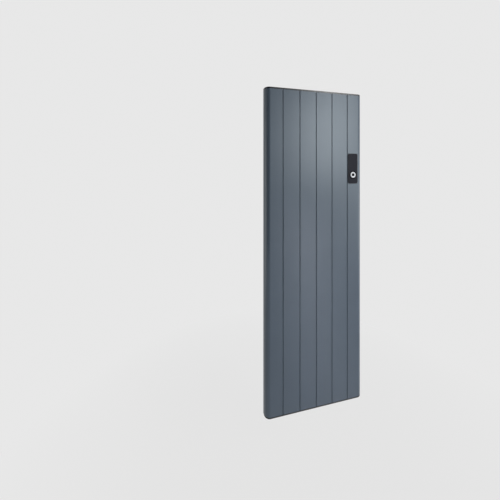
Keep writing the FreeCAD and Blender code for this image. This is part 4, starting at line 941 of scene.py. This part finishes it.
# The dish, as a share of the radius and a depth
for share, depth in ((0.7, 0.25 * MM), (0.4, 0.42 * MM), (0.0, 0.5 * MM)):
    button_outline.append((button_radius * share, button_length - depth))
button = turned_piece("dial_button_dished", button_outline, BUTTON_STEPS, DIAL_ROUND, closed=False)
finished(set_along(button, TO_ROOM, button_end), "dial_button", button_gloss, ["dial_button"])
print("button", len(button.data.polygons), "faces")

# %% [markdown]
# The gland is where a lead enters the rear box: a six-sided flange, a nut with ribs that is turned by hand,
# and a rubber seal in the nut's mouth. The construction has one solid for it. Carving all three from one mesh
# would be awkward, so each is turned from its own outline, and the flange stands for the node.

# %% Gland
TO_FLOOR = (0, 0, -1)
GLAND_ROUND = 0.3 * MM
GLAND_BORE = 4.2 * MM
SPIGOT_RADIUS = 6.6 * MM
FLANGE_RADIUS = 11.0 * MM
FLANGE_HEIGHT = 3.0 * MM
GLAND_SIDES = 6
NUT_STEPS = 64
NUT_RADIUS = 8.6 * MM
NUT_LENGTH = 9.0 * MM
BARREL_LENGTH = 4.6 * MM
SHOULDER_LENGTH = 2.0 * MM
SHOULDER_DROP = 0.6 * MM
RIM_WIDTH = 0.4 * MM
RIM_CHAMFER = 0.6 * MM
MOUTH_RADIUS = 5.9 * MM
MOUTH_DEPTH = 1.2 * MM
SEAL_STEPS = 48
SEAL_ROUND = 0.15 * MM
SEAL_RADIUS = 5.85 * MM
SEAL_LIP = 0.4 * MM
SEAL_INSET = 0.1 * MM

gland_low, gland_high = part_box("cable_gland")
nut_end = FLANGE_HEIGHT + NUT_LENGTH
gland_wall = Vector(((gland_low.x + gland_high.x) / 2, (gland_low.y + gland_high.y) / 2, gland_low.z))
gland_wall.z += nut_end
spigot_start = gland_wall.z - gland_high.z
mouth_floor = nut_end - MOUTH_DEPTH
flange_outline = [
    (GLAND_BORE, spigot_start),
    (SPIGOT_RADIUS, spigot_start),
    (SPIGOT_RADIUS, 0.0),
    (FLANGE_RADIUS, 0.0),
    (FLANGE_RADIUS, FLANGE_HEIGHT),
    (GLAND_BORE, FLANGE_HEIGHT),
]
nut_outline = [
    (GLAND_BORE, FLANGE_HEIGHT),
    (NUT_RADIUS, FLANGE_HEIGHT),
    (NUT_RADIUS, FLANGE_HEIGHT + BARREL_LENGTH),
    (NUT_RADIUS - SHOULDER_DROP, FLANGE_HEIGHT + BARREL_LENGTH + SHOULDER_LENGTH),
    (MOUTH_RADIUS + RIM_WIDTH + RIM_CHAMFER, nut_end - RIM_CHAMFER),
    (MOUTH_RADIUS + RIM_WIDTH, nut_end),
    (MOUTH_RADIUS, nut_end),
    (MOUTH_RADIUS, mouth_floor),
    (GLAND_BORE, mouth_floor),
]
seal_outline = [
    (GLAND_BORE, mouth_floor),
    (SEAL_RADIUS, mouth_floor),
    (SEAL_RADIUS, nut_end - SEAL_LIP),
    (GLAND_BORE + SEAL_LIP, nut_end - SEAL_INSET),
    (GLAND_BORE, nut_end - SEAL_LIP),
]
flange = turned_piece("gland_flange", flange_outline, GLAND_SIDES, GLAND_ROUND)
nut = turned_piece("gland_nut", nut_outline, NUT_STEPS, GLAND_ROUND)
rib_recipe("coarse_ribs", box_plastic).run(nut, {
    "Circle radius": 8.4 * MM,
    "Rib radius": 0.75 * MM,
    "Rib length": 5.0 * MM,
    "Rib start": FLANGE_HEIGHT,
    "Count": 16.0,
})
seal = turned_piece("gland_seal", seal_outline, SEAL_STEPS, SEAL_ROUND)
finished(set_along(flange, TO_FLOOR, gland_wall), "cable_gland", box_plastic, ["cable_gland"])
finished(set_along(nut, TO_FLOOR, gland_wall), "cable_gland", box_plastic, [])
finished(set_along(seal, TO_FLOOR, gland_wall), "cable_gland", rubber, [])
print("gland at", [round(part, 4) for part in gland_wall])

# %% [markdown]
# The studio has a pale floor well below the radiator, which hangs, and an even pale surrounding.
# Both show one plain tone to the camera, in mirrors and through glass, so metal and glass reflect the same
# paper white. A brighter light could make them pale, but it would wash out the body. For all other light
# the surroundings are dimmer, so the lamps shape the body, and part of the floor's tone is real paper, so it
# takes the shadow. Far away the floor turns wholly into that tone and no edge shows.

# %% Floor and surroundings
PALE = (0.805, 0.805, 0.805, 1.0)
PAPER = (0.75, 0.75, 0.75, 1.0)
WHITE = (1.0, 1.0, 1.0, 1.0)
SURROUND_LIGHT = 0.12
FLOOR_DROP = 0.6
FLOOR_REACH = 30.0
FLOOR_GLOW = 0.9
GLOW_RISE = 0.03


def stage_sheet(name, corners, material):
    """A flat sheet of the studio, which isn't part of the radiator."""
    mesh = bpy.data.meshes.new(name)
    mesh.from_pydata(corners, [], [(0, 1, 2, 3)])
    mesh.materials.append(material)
    sheet = new_piece(name, mesh)
    return sheet


def pale_floor():
    finish = Finish("floor_paper", {"Roughness": 0.9, "Base Color": PAPER})
    x, y, _ = finish.axes()
    glow = (FLOOR_GLOW + (x * x + y * y) * GLOW_RISE).at_most(1.0)
    light = finish.node("ShaderNodeEmission", {}, {"Color": PALE})
    parts = {0: finish.seen() * glow, 1: finish.shader.outputs[0], 2: light.outputs[0]}
    mixed = finish.node("ShaderNodeMixShader", {}, parts)
    finish.feed(finish.tree.nodes["Material Output"].inputs["Surface"], mixed.outputs[0])
    height = cad_low.z - FLOOR_DROP
    ends = [(-1, -1), (1, -1), (1, 1), (-1, 1)]
    corners = [(right * FLOOR_REACH, back * FLOOR_REACH, height) for right, back in ends]
    stage_sheet("floor", corners, finish.material)


def surroundings():
    world = bpy.data.worlds.new("surroundings")
    world.use_nodes = True
    bpy.context.scene.world = world
    wiring = Wiring(world.node_tree)
    background = world.node_tree.nodes["Background"]
    background.inputs["Color"].default_value = WHITE
    strength = SURROUND_LIGHT + wiring.seen() * (PALE[0] - SURROUND_LIGHT)
    wiring.feed(background.inputs["Strength"], strength)


pale_floor()
surroundings()
print("floor at", round(cad_low.z - FLOOR_DROP, 3), "m, tone", PALE[0])

# %% [markdown]
# Five soft boxes light the body. The key, tall and narrow on the right, gives the upper part of the front
# its sheen. A large one far to the right lights the whole front. A long narrow strip near the foot, slightly
# rosy, carries the sheen on downwards. A tall, warm one on the left lights the outer edge of the rounded
# side, and one behind lights the back for views from there. One big lamp would be simpler, but it would leave
# the rounded side dark and the front without its slow fall from light to dark.

# %% Lamps
OPEN = math.pi
NARROW = math.radians(80)
NEUTRAL = (1.0, 1.0, 1.0)
ROSY = (1.0, 0.94, 0.98)
WARM = (1.0, 0.91, 0.84)


def softbox(name, place, aim, size, power, spread=OPEN, tint=NEUTRAL):
    data = bpy.data.lights.new(name, "AREA")
    data.shape = "RECTANGLE"
    data.size, data.size_y = size
    data.energy = power
    data.color = tint
    data.spread = spread
    lamp = bpy.data.objects.new(name, data)
    lamp.location = place
    lamp.rotation_euler = (Vector(aim) - Vector(place)).to_track_quat("-Z", "Y").to_euler()
    bpy.context.scene.collection.objects.link(lamp)
    print(name, "lamp", power, "W")


softbox("key", (1.04, -1.70, 0.87), aim=(0.1, -0.08, 0.43), size=(0.42, 1.1), power=26)
softbox("front", (2.8, -1.7, -0.2), aim=(0.0, -0.08, 0.0), size=(1.0, 1.4), power=30.5)
softbox("strip", (0.42, -1.0, -0.62), aim=(-0.04, -0.08, -0.62), size=(0.12, 1.36), power=1.36,
        spread=NARROW, tint=ROSY)
softbox("side", (-2.05, 0.18, 0.0), aim=(-0.25, -0.06, 0.0), size=(0.3, 1.9), power=13, tint=WARM)
softbox("back", (1.0, 2.6, 0.6), aim=(0.0, 0.0, 0.0), size=(2.0, 2.0), power=30)
bpy.context.scene.view_settings.view_transform = "Standard"

# %% [markdown]
# Photographers put a black card beside a satin body to keep a dark line along its edge. A darker coat there
# would be false, because the real one is even. The card stands at the left, where the rounded side mirrors it
# just beside the front. Only mirrored rays meet it: it throws no shadow and stays out of the picture.

# %% Black card
CARD_BLACK = (0.01, 0.01, 0.01, 1)
CARD_LEFT = (-0.682, -0.33)
CARD_RIGHT = (-0.268, -0.57)
CARD_FOOT = -0.15
CARD_TOP = 1.5

dull = Finish("black_card", {"Roughness": 1.0, "Specular IOR Level": 0.0, "Base Color": CARD_BLACK})
foot_corners = [CARD_LEFT + (CARD_FOOT,), CARD_RIGHT + (CARD_FOOT,)]
top_corners = [CARD_RIGHT + (CARD_TOP,), CARD_LEFT + (CARD_TOP,)]
card = stage_sheet("flag", foot_corners + top_corners, dull.material)
card.visible_camera = False
card.visible_diffuse = False
card.visible_shadow = False
print("card", round(math.dist(CARD_LEFT, CARD_RIGHT), 3), "m wide,", CARD_TOP - CARD_FOOT, "m high")
